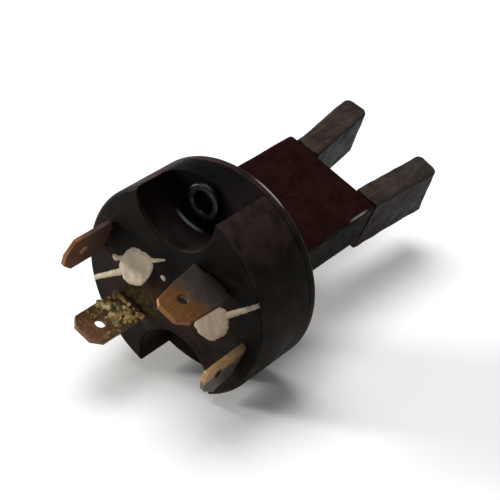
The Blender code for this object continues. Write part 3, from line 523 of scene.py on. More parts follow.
def phenolic(name, drum=True):
    """Old black moulding: mottled, dusty, scratched, paler at its worn rims, where a painted rim
    highlight also lies, with a painted glint on the rear rim. Up-facing parts are paler with
    dust and painted top light. The drum's own has painted shade darkening its pocket, less
    on the pocket's right wall, a painted reflection on the pocket's fillet, painted shade over
    the face's upper right, a brown notch and stains round the lower tab."""
    p = Paint(name, Specular_IOR_Level=0.03)
    mottle = p.noise(5.0, 6.0, 0.6)
    grain = p.noise(0.35, 3.0, 0.7)
    dust = p.noise(1.6, 7.0, 0.68, shift=9.0)
    colour = p.mix(p.remap(mottle, 0.35, 0.68), (0.0046, 0.0035, 0.0024), (0.0108, 0.0086, 0.0060))
    colour = p.mix(p.remap(p.noise(7.0, 3.0, 0.5, shift=31.0), 0.46, 0.62), colour,
                   (0.0165, 0.0085, 0.0068))
    colour = p.mix(p.both(p.remap(dust, 0.50, 0.72), p.remap(grain, 0.40, 0.66), 0.55),
                   colour, (0.026, 0.020, 0.0155))
    # Dust and painted top light: up-facing parts are paler.
    top = p.both(p.remap(p.up(), 0.35, 0.95), p.remap(p.noise(3.0, 4.0, 0.6, shift=17.0), 0.30, 0.60))
    colour = p.mix(p.both(top, 0.85), colour, (0.036, 0.0225, 0.0200))
    scratch = p.remap(p.noise(0.5, 2.0, 0.5, stretch=(0.10, 1.0, 1.6)), 0.66, 0.72)
    colour = p.mix(p.both(scratch, 0.35), colour, (0.050, 0.045, 0.040))
    radius = p.ring()
    y = p.along((0, 1, 0))
    # Worn rims, partly a painted rim highlight: the front and rear rims are paler.
    edge_noise = p.remap(p.noise(2.6, 3.0, 0.6, shift=3.0), 0.25, 0.75)
    front_edge = p.both(p.remap(radius, DRUM_R - 0.75, DRUM_R - 0.25), p.remap(y, 0.9, 0.25))
    rear_edge = p.both(p.remap(radius, DRUM_R - 0.8, DRUM_R - 0.2),
                       p.remap(y, DRUM_DEPTH - 0.8, DRUM_DEPTH - 0.3))
    worn = p.both(p.either(front_edge, rear_edge), edge_noise, 0.75)
    colour = p.mix(worn, colour, (0.036, 0.028, 0.024))
    # Painted highlight: a glint on the rear rim.
    glint = p.both(rear_edge, p.near((8.6, DRUM_DEPTH, 14.9), 1.2, 2.6))
    colour = p.mix(glint, colour, (0.40, 0.39, 0.37))
    rough = p.remap(mottle, 0.3, 0.7, 0.42, 0.62)
    if drum:
        # Painted shade: the screw pocket is coloured almost black.
        pocket = p.both(p.remap(p.ring(*POCKET_AT), POCKET_R + 0.12, POCKET_R - 0.06),
                        p.remap(y, 0.25, 0.8))
        colour = p.mix(p.both(pocket, 0.93), colour, (0.0004, 0.0003, 0.0003))
        # Painted light: the pocket's right part is less dark than the rest of its painted shade.
        lit_pocket_wall = p.both(pocket, p.remap(p.along((1, 0, 0)), 3.0, 7.5))
        colour = p.mix(p.both(lit_pocket_wall, 0.6), colour, (0.0120, 0.0085, 0.0075))
        # Painted reflection: a pale blue-green arc on the pocket's floor fillet.
        fillet_reflection = p.both(p.near((-1.7, 6.0, 8.9), 0.8, 2.6), p.remap(y, 5.75, 6.05),
                       p.remap(y, 6.45, 6.15),
                       p.remap(p.ring(*POCKET_AT), POCKET_R - 1.2, POCKET_R - 0.7))
        colour = p.mix(p.both(fillet_reflection, 0.8), colour, (0.15, 0.19, 0.185))
        notch = p.both(p.remap(p.ring(*NOTCH_AT), NOTCH_R + 1.6, NOTCH_R + 0.2),
                       p.remap(y, 0.35, 0.9), p.remap(y, NOTCH_DEPTH + 0.4, NOTCH_DEPTH + 0.1))
        colour = p.mix(p.both(notch, 0.85), colour, (0.0150, 0.0062, 0.0050))
        face = p.remap(y, 0.5, 0.1)
        # Painted shade: the face darkens towards its upper right.
        high = p.both(face, p.remap(p.along((0.5, 0, 1)), -3.0, 8.0))
        colour = p.mix(p.both(high, 0.65), colour, (0.0030, 0.0026, 0.0024))
        stain = p.both(face, p.near((-6.3, 0, -4.4), 1.5, 3.6),
                       p.remap(p.noise(1.3, 6.0, 0.7, shift=5.0), 0.36, 0.62))
        colour = p.mix(stain, colour, (0.040, 0.030, 0.010))
        rust = p.both(face, p.near((-1.2, 0, -1.8), 1.4, 3.2),
                      p.remap(p.noise(1.0, 6.0, 0.7, shift=15.0), 0.38, 0.62))
        colour = p.mix(p.both(rust, 0.7), colour, (0.045, 0.022, 0.010))
    return p.done(colour, rough, (p.noise(6.0, 2.0, 0.4), 0.22), (grain, 0.02),
                  (p.noise(0.9, 4.0, 0.6), 0.03), (scratch, -0.01))


def maroon(name):
    """Dark red-brown moulding with a dull bloom and rubbed edges. Painted shade darkens every face
    turned away from up, more so the right face, and a painted highlight with a painted glint
    lies along the top right edge.
    """
    p = Paint(name, Specular_IOR_Level=0.02)
    mottle = p.noise(2.6, 7.0, 0.66)
    grain = p.noise(0.4, 3.0, 0.7, shift=2.0)
    colour = p.mix(p.remap(mottle, 0.36, 0.66), (0.0105, 0.0024, 0.0017), (0.0190, 0.0052, 0.0038))
    colour = p.mix(p.both(p.remap(grain, 0.52, 0.72), 0.5), colour, (0.025, 0.0095, 0.0075))
    # Painted shade: faces of the block turned away from up are darker.
    shaded_flanks = p.remap(p.up(Z_T), 0.75, 0.35)
    colour = p.mix(p.both(shaded_flanks, 0.75), colour, (0.0020, 0.0019, 0.0014))
    # Painted shade, tinted green: the block's right face is darker.
    green = p.both(p.remap(p.along(X_T), 7.0, 8.6),
                   p.remap(p.noise(2.2, 5.0, 0.6, shift=8.0), 0.34, 0.55))
    colour = p.mix(p.both(green, 0.8), colour, (0.0044, 0.0042, 0.0030))
    # Rubbed edges, partly a painted highlight: the top right edge is paler, with a painted glint near
    # its rear end.
    edges = p.both(p.remap(p.along(Z_T), HALF_BLOCK - 0.45, HALF_BLOCK - 0.15),
                   p.remap(p.along(X_T), RIGHT - 0.6, RIGHT - 0.25))
    streak = p.remap(p.noise(2.4, 4.0, 0.7, shift=12.0), 0.44, 0.60)
    colour = p.mix(p.both(edges, streak, 0.5), colour, (0.040, 0.028, 0.024))
    glint = p.both(edges, p.near(TURN @ Vector((RIGHT, 35.5, HALF_BLOCK)), 1.0, 2.0))
    colour = p.mix(glint, colour, (0.30, 0.28, 0.25))
    scratch = p.remap(p.noise(0.45, 2.0, 0.5, stretch=(1.4, 0.12, 1.0)), 0.65, 0.71)
    colour = p.mix(p.both(scratch, 0.3), colour, (0.032, 0.014, 0.011))
    return p.done(colour, p.remap(mottle, 0.3, 0.7, 0.45, 0.66), (p.noise(3.5, 3.0, 0.5), 0.16),
                  (grain, 0.03), (scratch, -0.012))


def old_blade(name):
    """Blackened copper-bronze blade: streaked, blotched, paler where it was wiped, with painted
    shade on every face turned away from up.
    """
    p = Paint(name, Specular_IOR_Level=0.06)
    blotch = p.noise(3.2, 6.0, 0.66)
    streak = p.noise(0.9, 5.0, 0.62, stretch=(1.0, 0.16, 1.0))
    grain = p.noise(0.28, 3.0, 0.7)
    colour = p.mix(p.remap(blotch, 0.34, 0.66), (0.024, 0.0165, 0.0130), (0.054, 0.0375, 0.0290))
    colour = p.mix(p.both(p.remap(streak, 0.48, 0.70), 0.7), colour, (0.070, 0.053, 0.042))
    green = p.remap(p.noise(2.4, 5.0, 0.6, shift=6.0), 0.54, 0.68)
    colour = p.mix(p.both(green, 0.6), colour, (0.022, 0.024, 0.015))
    colour = p.mix(p.both(p.remap(p.noise(0.8, 5.0, 0.7, shift=21.0), 0.58, 0.70), 0.8), colour,
                   (0.012, 0.0095, 0.008))
    # Painted shade: faces turned away from up are darker.
    colour = p.mix(p.both(p.remap(p.up(Z_T), 0.85, 0.45), 0.80), colour, (0.0070, 0.0052, 0.0044))
    metal = p.remap(streak, 0.5, 0.75, 0.0, 0.15)
    return p.done(colour, p.remap(blotch, 0.3, 0.7, 0.50, 0.70), (blotch, 0.10), (streak, 0.03),
                  (grain, 0.018), metallic=metal)


BLOTCHES = 0.45


def brass(name, bright, dull, dark_from, dark_to, green=0.0, shade=None):
    """Tarnished brass tab: bright at the tip, brown and dull towards the face, darker there
    partly as tarnished metal and partly as painted shade. Both thicken between two places along
    the axis; green is the share of verdigris, and shade the two heights between which the tab
    darkens, partly tarnished, partly painted shade."""
    p = Paint(name, Specular_IOR_Level=0.4)
    patch = p.noise(1.7, 6.0, 0.66)
    grain = p.noise(0.22, 4.0, 0.7)
    lines = p.noise(0.35, 3.0, 0.6, stretch=(1.0, 0.14, 1.0))
    # Darker towards the face: partly tarnished metal, partly painted shade.
    fade = p.remap(p.along((0, 1, 0)), dark_from, dark_to)
    spots = p.both(p.remap(patch, 0.30, 0.70), BLOTCHES)
    tarnish_and_shade = p.remap(p.maths("ADD", spots, fade), 0.1, 1.0 + BLOTCHES * 0.6)
    colour = p.mix(tarnish_and_shade, bright, dull)
    colour = p.mix(p.both(p.remap(lines, 0.5, 0.7), 0.35), colour, tuple(0.45 * c for c in dull))
    colour = p.mix(p.both(p.remap(p.noise(0.6, 5.0, 0.7, shift=4.0), 0.60, 0.72), 0.6), colour,
                   (0.030, 0.017, 0.009))
    # Painted shade, partly tarnished metal: the tab darkens below a height.
    if shade:
        colour = p.mix(p.remap(p.along(Z_T), *shade), colour, (0.020, 0.013, 0.009))
    if green:
        verdigris = p.both(p.remap(p.noise(0.7, 6.0, 0.7, shift=14.0), 0.50, 0.62), green)
        colour = p.mix(verdigris, colour, (0.17, 0.15, 0.06))
    metal = p.remap(tarnish_and_shade, 0.1, 1.0, 0.75, 0.2)
    rough = p.remap(tarnish_and_shade, 0.0, 1.0, 0.36, 0.62)
    return p.done(colour, rough, (patch, 0.05), (grain, 0.016), (lines, 0.01), metallic=metal)


def crusty(name):
    """The lumpy yellow, green and white growth on the lower tab."""
    p = Paint(name, Specular_IOR_Level=0.45)
    lump = p.noise(1.3, 5.0, 0.62)
    speck = p.noise(0.30, 4.0, 0.7, shift=3.0)
    colour = p.mix(p.remap(lump, 0.40, 0.56), (0.13, 0.080, 0.020), (0.50, 0.30, 0.085))
    colour = p.mix(p.remap(p.noise(0.8, 4.0, 0.6, shift=3.0), 0.55, 0.62), colour, (0.80, 0.68, 0.42))
    green = p.remap(p.noise(1.9, 4.0, 0.6, shift=11.0), 0.50, 0.60)
    colour = p.mix(p.both(green, 0.8), colour, (0.080, 0.078, 0.024))
    return p.done(colour, p.remap(speck, 0.4, 0.7, 0.62, 0.34), (lump, 0.10), (speck, 0.05))


def sealant(name):
    """Cream compound, dull and faintly pitted, browned at its edges, with painted shade over the
    seal right of the axis.
    """
    p = Paint(name, Specular_IOR_Level=0.30)
    cloud = p.noise(1.7, 5.0, 0.6)
    grain = p.noise(0.25, 4.0, 0.7)
    colour = p.mix(p.remap(cloud, 0.34, 0.66), (0.345, 0.280, 0.195), (0.450, 0.380, 0.280))
    colour = p.mix(p.both(p.remap(p.noise(0.8, 5.0, 0.7, shift=7.0), 0.56, 0.70), 0.5), colour,
                   (0.230, 0.165, 0.100))
    # Painted shade: the seal right of the axis is darker.
    right_seal_shade = p.remap(p.along((1, 0, 0)), 3.0, 6.0)
    colour = p.mix(p.both(right_seal_shade, 0.85), colour, (0.200, 0.150, 0.108))
    low = p.remap(p.along((0, 1, 0)), -0.12, 0.02)
    colour = p.mix(p.both(low, 0.55), colour, (0.16, 0.125, 0.085))
    return p.done(colour, p.remap(cloud, 0.3, 0.7, 0.6, 0.8), (cloud, 0.10), (grain, 0.03))


def metal(name, light, dark, rough=(0.28, 0.5), size=1.2):
    """Plain hardware metal with stains and a fine grain."""
    p = Paint(name, Specular_IOR_Level=0.4, Metallic=1.0)
    stain = p.noise(size, 6.0, 0.66)
    grain = p.noise(0.2, 3.0, 0.7)
    colour = p.mix(p.remap(stain, 0.38, 0.66), light, dark)
    colour = p.mix(p.both(p.remap(grain, 0.55, 0.72), 0.4), colour, tuple(0.4 * c for c in dark))
    return p.done(colour, p.remap(stain, 0.3, 0.7, *rough), (stain, 0.03), (grain, 0.012))


def fibre(name):
    """Pressed red-brown fibre card."""
    p = Paint(name, Specular_IOR_Level=0.25)
    weave = p.noise(0.5, 5.0, 0.7, stretch=(1.0, 0.3, 1.0))
    colour = p.mix(p.remap(weave, 0.35, 0.68), (0.10, 0.030, 0.020), (0.19, 0.070, 0.045))
    return p.done(colour, p.remap(weave, 0.3, 0.7, 0.75, 0.9), (weave, 0.05))


phenolic("black_phenolic")
phenolic("cover_phenolic", drum=False)
maroon("maroon_phenolic")
old_blade("blade_metal")
brass("lower_tab_brass", (0.125, 0.052, 0.023), (0.052, 0.025, 0.010), -9.0, -1.0, green=0.55)
brass("upper_tab_brass", (0.150, 0.062, 0.016), (0.0125, 0.0068, 0.0036), -9.5, -2.4)
brass("right_tab_brass", (0.36, 0.20, 0.085), (0.12, 0.058, 0.026), -6.0, 1.5, green=0.5,
      shade=(1.2, -0.2))
brass("left_tab_brass", (0.22, 0.088, 0.040), (0.055, 0.022, 0.012), -9.0, -3.0)
crusty("tab_crust")
sealant("cream_sealant")
metal("spring_brass", (0.50, 0.34, 0.15), (0.24, 0.15, 0.06))
metal("arm_copper", (0.50, 0.22, 0.12), (0.20, 0.085, 0.05))
metal("fastener_steel", (0.17, 0.165, 0.16), (0.060, 0.050, 0.044), size=0.8)
metal("eyelet_steel", (0.030, 0.030, 0.031), (0.010, 0.0095, 0.010), (0.26, 0.42))
fibre("barrier_fibre")

# ---- drum


def arc(centre, radius, start, end, steps):
    """Points along an arc."""
    return [(centre[0] + radius * math.cos(start + (end - start) * step / steps),
             centre[1] + radius * math.sin(start + (end - start) * step / steps))
            for step in range(steps + 1)]


def upright(a, b, h):
    """A point of the front plane, at a height along the drum's axis."""
    return Vector((a, h, b))


def notch_tool(low, high, grow=0.0, lip=0.0):
    """The notch's outline as a cutter, flared at the front by a lip."""
    radius, mouth = NOTCH_R + grow, NOTCH_R + grow + NOTCH_FLARE
    outline = arc(NOTCH_AT, radius, math.pi, 0, 40)
    below = -DRUM_R - 2 * OVER
    outline += [(NOTCH_AT[0] + mouth, below), (NOTCH_AT[0] - mouth, below)]
    levels = [(low, 0.0), (high, 0.0)]
    if lip:
        levels = [(-OVER, lip)]
        levels += [(lip * (1 - math.cos(a)), lip * (1 - math.sin(a))) for a in quarter(4)]
        levels += [(high, 0.0)]
    return prism(outline, levels, upright)


def pocket_tool():
    """The screw pocket: flared at its mouth, filleted at its floor."""
    profile = [(0, -3 * OVER), (POCKET_R + POCKET_LIP, -3 * OVER)]
    profile += [(POCKET_R + POCKET_LIP * (1 - math.sin(a)), POCKET_LIP * (1 - math.cos(a)))
                for a in quarter(6)]
    floor_from, inner = POCKET_DEPTH - POCKET_FILLET, POCKET_R - POCKET_FILLET
    profile += [(inner + POCKET_FILLET * math.cos(a), floor_from + POCKET_FILLET * math.sin(a))
                for a in quarter(6)]
    profile += [(0, POCKET_DEPTH)]
    return spin(profile, y_axis(*POCKET_AT), 128)


def cavity():
    """The hollow inside the drum, round its bosses."""
    low, high = FRONT_WALL - OVER, DRUM_DEPTH + 4 * OVER
    hollow = rod(DRUM_R - SIDE_WALL, FRONT_WALL, DRUM_DEPTH + 3 * OVER, y_axis(), 128)
    bosses = [rod(POCKET_R + SCOOP_WALL, low, high, y_axis(*POCKET_AT), 96),
              notch_tool(low, high, SCOOP_WALL)]
    for x, z in COVER_SCREWS_AT[2:]:
        bosses.append(rod(COVER_SCREW_R + SCOOP_WALL, low, high, y_axis(x, z), 32))
    return cut(hollow, *bosses)


def tab_slots():
    """The slots that the tabs' necks pass through."""
    across, thick = NECK + FIT, TAB_T / 2 + FIT * SLOT_SPARE
    low, high = -OVER, FRONT_WALL + OVER
    made = []
    for sign in SIGN.values():
        x = sign * SIDE_TAB_X
        made.append(box((x - thick, low, -across), (x + thick, high, across), TURN))
        x, z = sign * FLAT_TAB_X, sign * FLAT_TAB_Z
        made.append(box((x - across, low, z - thick), (x + across, high, z + thick), TURN))
    return made


def drum_shell():
    """The front moulding."""
    end, past = COVER_Y - HAIR, DRUM_DEPTH + 2 * OVER
    profile = [(0, 0)] + fillet(DRUM_R, RIM_ROUND, 5)
    profile += [(DRUM_R, end - SEAM_ROUND), (DRUM_R - SEAM_ROUND, end), (0, end)]
    drum = spin(profile, y_axis(), DRUM_STEPS)
    cut(drum, cavity())
    cut(drum, pocket_tool(), notch_tool(-OVER, NOTCH_DEPTH, lip=NOTCH_LIP))
    cut(drum, *tab_slots())
    cut(drum, rod(EYELET_TUBE + FIT, POCKET_DEPTH - OVER, past, y_axis(*EYELET_AT), 48),
        *[rod(COVER_SCREW_R + FIT, DRUM_DEPTH - COVER_SCREW_L - FIT, past, y_axis(x, z), 24)
          for x, z in COVER_SCREWS_AT])
    cut(drum, spin(NICK, Matrix.Translation(NICK_AT), 14))
    finish(drum, "drum_shell", BASE, "black_phenolic", ["drum_body"])


def rear_disc():
    """The cover that closes the drum from behind."""
    profile = [(0, COVER_Y), (DRUM_R - COVER_ROUND, COVER_Y), (DRUM_R, COVER_Y + COVER_ROUND)]
    profile += [(DRUM_R - REAR_ROUND * (1 - math.cos(a)), DRUM_DEPTH - REAR_ROUND * (1 - math.sin(a)))
                for a in quarter(5)]
    profile += [(0, DRUM_DEPTH)]
    disc = spin(profile, y_axis(), DRUM_STEPS)
    low, high = COVER_Y - OVER, DRUM_DEPTH + OVER
    half = HALF_BLOCK + FIT
    cut(disc, box((LEFT - FIT, low, -half), (RIGHT + FIT, high, half), TURN),
        rod(EYELET_TUBE + FIT, low, high, y_axis(*EYELET_AT), 48))
    for x, z in COVER_SCREWS_AT:
        cut(disc, rod(COVER_SCREW_R + FIT, low, high, y_axis(x, z), 24),
            rod(COVER_HEAD_R + FIT, DRUM_DEPTH - HEAD_SINK, high, y_axis(x, z), 40))
    finish(disc, "rear_disc", BASE, "black_phenolic", ["rear_cover"], "cover_phenolic")


def eyelet():
    """The rolled eyelet in the pocket's floor."""
    top, seat, end = POCKET_DEPTH - EYELET_RISE, POCKET_DEPTH - EYELET_SINK, DRUM_DEPTH - EYELET_END
    profile = [(EYELET_BORE, top + EYELET_ROLL)]
    profile += [(EYELET_BORE + EYELET_ROLL * (1 - math.cos(a)), top + EYELET_ROLL * (1 - math.sin(a)))
                for a in quarter(5)[1:]]
    profile += [(EYELET_FLANGE - EYELET_EDGE * (1 - math.sin(a)), top + EYELET_EDGE * (1 - math.cos(a)))
                for a in quarter(5)]
    profile += [(EYELET_FLANGE, seat), (EYELET_TUBE, seat), (EYELET_TUBE, end),
                (EYELET_TUBE - EYELET_END, DRUM_DEPTH), (EYELET_BORE + EYELET_END, DRUM_DEPTH),
                (EYELET_BORE, end)]
    made = spin(profile, y_axis(*EYELET_AT), 72)
    finish(made, "eyelet", BASE, "fastener_steel", ["mounting_eyelet"], "eyelet_steel", even=True)


def slotted_screw(name, radius, head, length, place, node):
    """A cheese-head screw with a worn slot."""
    profile = [(0, 0.0)] + [(across, -down) for across, down in fillet(head, HEAD_ROUND, 4)]
    profile += [(head, -HEAD_DEPTH), (radius, -HEAD_DEPTH), (radius, -length + radius), (0, -length)]
    screw = spin(profile, HERE, 40)
    cut(screw, box((-head * 1.5, -SLOT_HALF, -SLOT_DEPTH), (head * 1.5, SLOT_HALF, OVER)))
    finish(moved(screw, place), name, BASE, "fastener_steel", [node], even=True)


def all_screws():
    """The cover's four screws and the block's two."""
    for number, (x, z) in enumerate(COVER_SCREWS_AT, 1):
        place = Matrix.Translation((x, DRUM_DEPTH, z)) @ Matrix.Rotation(-math.pi / 2, 4, "X")
        place = place @ Matrix.Rotation(COVER_SCREW_TURN * number, 4, "Z")
        slotted_screw(f"cover_screw_detail_{number}", COVER_SCREW_R, COVER_HEAD_R, COVER_SCREW_L, place,
                      f"cover_screw_{number}")
    for number, y in enumerate(BLOCK_SCREWS_AT, 1):
        place = TURN @ Matrix.Translation((WEB_X, y, -HALF_BLOCK)) @ Matrix.Rotation(math.pi, 4, "X")
        slotted_screw(f"block_screw_detail_{number}", BLOCK_SCREW_R, BLOCK_HEAD_R, BLOCK_SCREW_L, place,
                      f"block_screw_{number}")


# ---- block and blades


def block():
    """The maroon block, a trough that opens underneath, and the plate that closes it."""
    body = box((LEFT, BLOCK_FROM, -HALF_BLOCK), (RIGHT, BLOCK_END, HALF_BLOCK))
    soften(body, BLOCK_ROUND, 4)
    join(body, box((LEFT - EAR_REACH, BLOCK_FROM, EAR_INSET - HALF_BLOCK),
                   (RIGHT + EAR_REACH, BLOCK_FROM + EAR_DEPTH, HALF_BLOCK - EAR_INSET)))
    left, right = LEFT + BLOCK_SIDE, RIGHT - BLOCK_SIDE
    front, rear, past = BLOCK_FROM - OVER, BLOCK_END - BLOCK_REAR, BLOCK_END + OVER
    cut(body, box((left, front, -HALF_BLOCK - OVER), (right, past, CHANNEL_FLOOR)))
    for side, sign in SIGN.items():
        low, high = (left, WEB_X - WEB / 2) if sign < 0 else (WEB_X + WEB / 2, right)
        cut(body, box((low, front, CHANNEL_FLOOR - OVER), (high, rear, CHANNEL_TOP)))
        reach = (BLOCK_END - PIVOT_Y) * math.sin(TRAVEL)
        low, high = sorted((POLE_X[side] - sign * (TANG_W / 2 + FIT),
                            POLE_X[side] + sign * (TANG_W / 2 + reach + FIT / 2)))
        cut(body, box((low, rear - OVER, CHANNEL_FLOOR - OVER), (high, past, TANG_H / 2 + FIT)))
    join(body, *rods(BOSS_R, CHANNEL_FLOOR, CHANNEL_TOP + BOSS_SINK, SCREW_PLACES, 24))
    cut(body, *rods(SCREW_HOLE_R, -HALF_BLOCK - OVER, SCREW_HOLE_TOP, SCREW_PLACES, 20))
    slice_up(body, BLOCK_CELL)
    wear(body, BLOCK_WEAR, BLOCK_WEAR_SIZE, BLOCK_SEED)
    finish(moved(body, TURN), "block_shell", BASE, "maroon_phenolic", ["block_body"])
    inset = BLOCK_SIDE + FIT
    plate = box((LEFT + inset, BLOCK_FROM, -HALF_BLOCK),
                (RIGHT - inset, BLOCK_END - PLATE_SHORT, CHANNEL_FLOOR - FIT))
    soften(plate, PLATE_EDGE)
    cut(plate, *rods(PIN_R + FIT, -FAR, 0, [(x, PIVOT_Y) for x in POLE_X.values()], 32),
        *rods(SCREW_HOLE_R, -FAR, 0, SCREW_PLACES, 20))
    cut(plate, *rods(HEAD_HOLE_R, -FAR, HEAD_HOLE_DEPTH - HALF_BLOCK, SCREW_PLACES, 32))
    finish(moved(plate, TURN), "block_floor", BASE, "maroon_phenolic", ["block_floor_plate"])


def blade(side):
    """One knife blade with its tang, hub and fork, at its rest angle about its pin."""
    sign, half, half_tang = SIGN[side], BLADE_W / 2, TANG_H / 2
    place = Matrix.Translation(PIVOT[side]) @ TURN @ Matrix.Rotation(-sign * REST[side], 4, "Z")
    end = BLOCK_END - PIVOT_Y + FIT + BLADE_L
    plan = [(-half, BLADE_START), (half, BLADE_START)]
    inner, shoulder = half - BLADE_CORNER, end - BLADE_CORNER
    plan += arc((inner, shoulder), BLADE_CORNER, 0, math.pi / 2, 6)
    plan += arc((-inner, shoulder), BLADE_CORNER, math.pi / 2, math.pi, 6)

    def leaning(a, b, h):
        out = BLADE_LEAN * (BLADE_TOP - h) / (BLADE_TOP - BLADE_FOOT)
        return Vector((a, b + (out if b > BLADE_START + BLADE_ROOT else 0.0), h))

    body = prism(plan, [(BLADE_FOOT, 0), (BLADE_TOP, 0)], leaning)
    soften(body, BLADE_ROUND, 4, 35)
    wide, deep = RELIEF
    cut(body, box((-wide, -deep, -FAR), (wide, BLADE_START, FAR),
                  Matrix.Rotation(sign * TRAVEL, 4, "Z")))
    join(body, box((-TANG_W / 2, 0, -half_tang), (TANG_W / 2, BLADE_START + BLADE_ROOT, half_tang)))
    join(body, rod(HUB_R, -half_tang, half_tang, HERE, 40))
    join(body, box((-FORK_W / 2, -FORK_L, -half_tang), (FORK_W / 2, 0, half_tang)))
    cut(body, box((-SLIT, -FORK_L - OVER, -ARM_GAP), (SLIT, HUB_R + FIT, ARM_GAP)))
    cut(body, rod(PIN_R + FIT, -FAR, FAR, HERE, 32),
        *rods(ARM_RIVET_R + FIT, -FAR, FAR, [(0, ARM_RIVET_Y)], 20))
    slice_up(body, BLADE_CELL)
    wear(body, BLADE_WEAR, BLADE_WEAR_SIZE, BLADE_SEED * sign,
         where=lambda co: max(0.0, min(1.0, co.y - BLADE_START)))
    finish(moved(body, place), f"{side}_blade_detail", f"{side}_blade", "blade_metal",
           [f"blade_{side}"])


# ---- tabs


def tab_point(sign, level):
    """Where a tab's outline point goes: across or up, along the axis, through the plate."""
    if level:
        return lambda a, b, h: Vector((sign * FLAT_TAB_X + a, b, sign * FLAT_TAB_Z + h))
    return lambda a, b, h: Vector((sign * SIDE_TAB_X + h, b, a))


def tab_foot(sign, level):
    """The corners of a tab's bent foot, behind the front wall."""
    if level:
        low, high = sorted((sign * (FLAT_TAB_Z - TAB_T / 4), sign * FLAT_FOOT_TO))
        x, half = sign * FLAT_TAB_X, NECK + FOOT_SPARE
        return (x - half, FOOT_Y, low), (x + half, FOOT_END, high)
    low, high = sorted((sign * (SIDE_TAB_X - TAB_T / 4), sign * SIDE_FOOT_TO))
    return (low, FOOT_Y, -NECK), (high, FOOT_END, NECK)


def twisted(at):
    """Where a point of the right tab goes in its slight twist."""
    out = max(0.0, -at.y - TWIST_FROM)
    return at + Vector((TWIST * out * out * (TWIST_MEAN - TWIST_RISE * at.z), 0, 0))


def tab(which):
    """A push-on tab: bevelled plate with a hole, necked into its slot, and its foot."""
    sign, level, (left, right), tip, hole_at = TABS[which]
    to_point, half = tab_point(sign, level), TAB_T / 2
    outline = tip + [(right, SHOULDER_Y), (NECK, SHOULDER_Y), (NECK, FOOT_END),
                     (-NECK, FOOT_END), (-NECK, SHOULDER_Y), (left, SHOULDER_Y)]
    plate = prism(outline, [(-half, 0), (half, 0)], to_point)
    normal = (to_point(0, 0, 1) - to_point(0, 0, 0)).normalized()
    aim = normal.to_track_quat("Z", "Y").to_matrix().to_4x4()
    cut(plate, rod(TAB_HOLE_R, -2 * OVER, 2 * OVER, Matrix.Translation(to_point(*hole_at, 0)) @ aim))
    soften(plate, TAB_EDGE)
    join(plate, box(*tab_foot(sign, level)))
    if which == "right":
        slice_up(plate, TAB_CELL)
        for vert in plate.data.vertices:
            vert.co = twisted(vert.co)
    finish(moved(plate, TURN), f"{which}_tab", BASE, "tab_brass", [f"terminal_tab_{which}"],
           f"{which}_tab_brass", even=True)


def crust():
    """Lumps of corrosion on the lower tab's root and edges."""
    draw = random.Random(CRUST_SEED)
    to_point, top = tab_point(-1, True), TAB_T / 2
    bm = bmesh.new()

    def lump(across, along, lift, size, flat=1.0, steps=2):
        place = Matrix.Translation(to_point(across, along, lift)) @ Matrix.Diagonal((1, 1, flat, 1))
        bmesh.ops.create_icosphere(bm, subdivisions=steps, radius=size, matrix=place)

    for _ in range(LUMPS):
        across = draw.uniform(-3.2, 2.9)
        along = -5.8 + 5.4 * draw.random() ** 0.85
        size = draw.uniform(0.24, 0.58) * (1.0 if along > -4.8 else 0.6)
        lift = top + draw.uniform(-0.12, 0.02)
        if draw.random() < 0.15:
            lift = -top
        lump(across, along, lift, size, draw.uniform(0.35, 0.6))
    for _ in range(GRAINS):
        across, along = draw.uniform(-3.1, -1.0), draw.uniform(-7.6, -5.2)
        across += draw.choice((0, 4.6))
        lump(across, along, top - 0.08, draw.uniform(0.12, 0.26))
    for across, along, size in CRUST_BLOBS:
        lump(across, along, top, size, 0.5, 3)
    lumps = link("lumps", bm)
    fuse = lumps.modifiers.new("Fuse", "REMESH")
    fuse.mode, fuse.voxel_size = "VOXEL", CRUST_VOXEL
    smooth = lumps.modifiers.new("Smooth", "SMOOTH")
    smooth.factor, smooth.iterations = 0.5, 4
    settle_modifiers(lumps)
    wear(lumps, 0.08, 0.7, 2.0)
    finish(moved(lumps, TURN), "lower_tab_crust", BASE, "tab_brass", paint="tab_crust", sharp=80)


# ---- seals


def capsule(point, a, b, width_a, width_b):
    """Signed distance from a line that tapers between two widths."""
    line = b - a
    share = max(0.0, min(1.0, (point - a).dot(line) / line.length_squared))
    return (point - a - line * share).length - (width_a + (width_b - width_a) * share)


def blob(point, centre, radius, lobes, seed, stretch=1.0):
    """Signed distance from a wavering patch, stretched along a rising diagonal."""
    offset = point - centre
    along, across = offset.x + offset.y, offset.y - offset.x
    offset = Vector((along / math.sqrt(2) / stretch, across / math.sqrt(2)))
    angle = math.atan2(offset.y, offset.x)
    x, y = math.cos(angle) * lobes, math.sin(angle) * lobes
    waver = noise.noise(Vector((x, y, seed))) + 0.4 * noise.noise(Vector((x * 3, y * 3, seed + 5)))
    return offset.length - radius * (1 + 0.13 * waver)


# Blobs are (centre, radius, lobes, seed, stretch); lines are (from, to, width, width)
SEALS = {
    "left": {
        "blobs": ((Vector((-7.3, 1.8)), 2.8, 1.3, 4.0, 1.46), (Vector((-11.5, 1.95)), 0.62, 1.0, 2.0),
                  (Vector((-1.74, 2.08)), 0.5, 1.5, 8.0)),
        "lines": ((Vector((-17.0, -3.97)), Vector((-8.0, 1.2)), 0.40, 0.62),
                  (Vector((-8.0, 2.6)), Vector((-1.3, 5.4)), 0.75, 0.18),
                  (Vector((-11.5, 1.95)), Vector((-9.0, 2.6)), 0.35, 0.5)),
    },
    "right": {
        "blobs": ((Vector((7.7, -2.0)), 2.65, 1.6, 11.0, 1.5), (Vector((16.6, 4.62)), 0.42, 1.0, 3.0)),
        "lines": ((Vector((8.2, -1.2)), Vector((16.4, 4.5)), 0.62, 0.36),),
    },
}


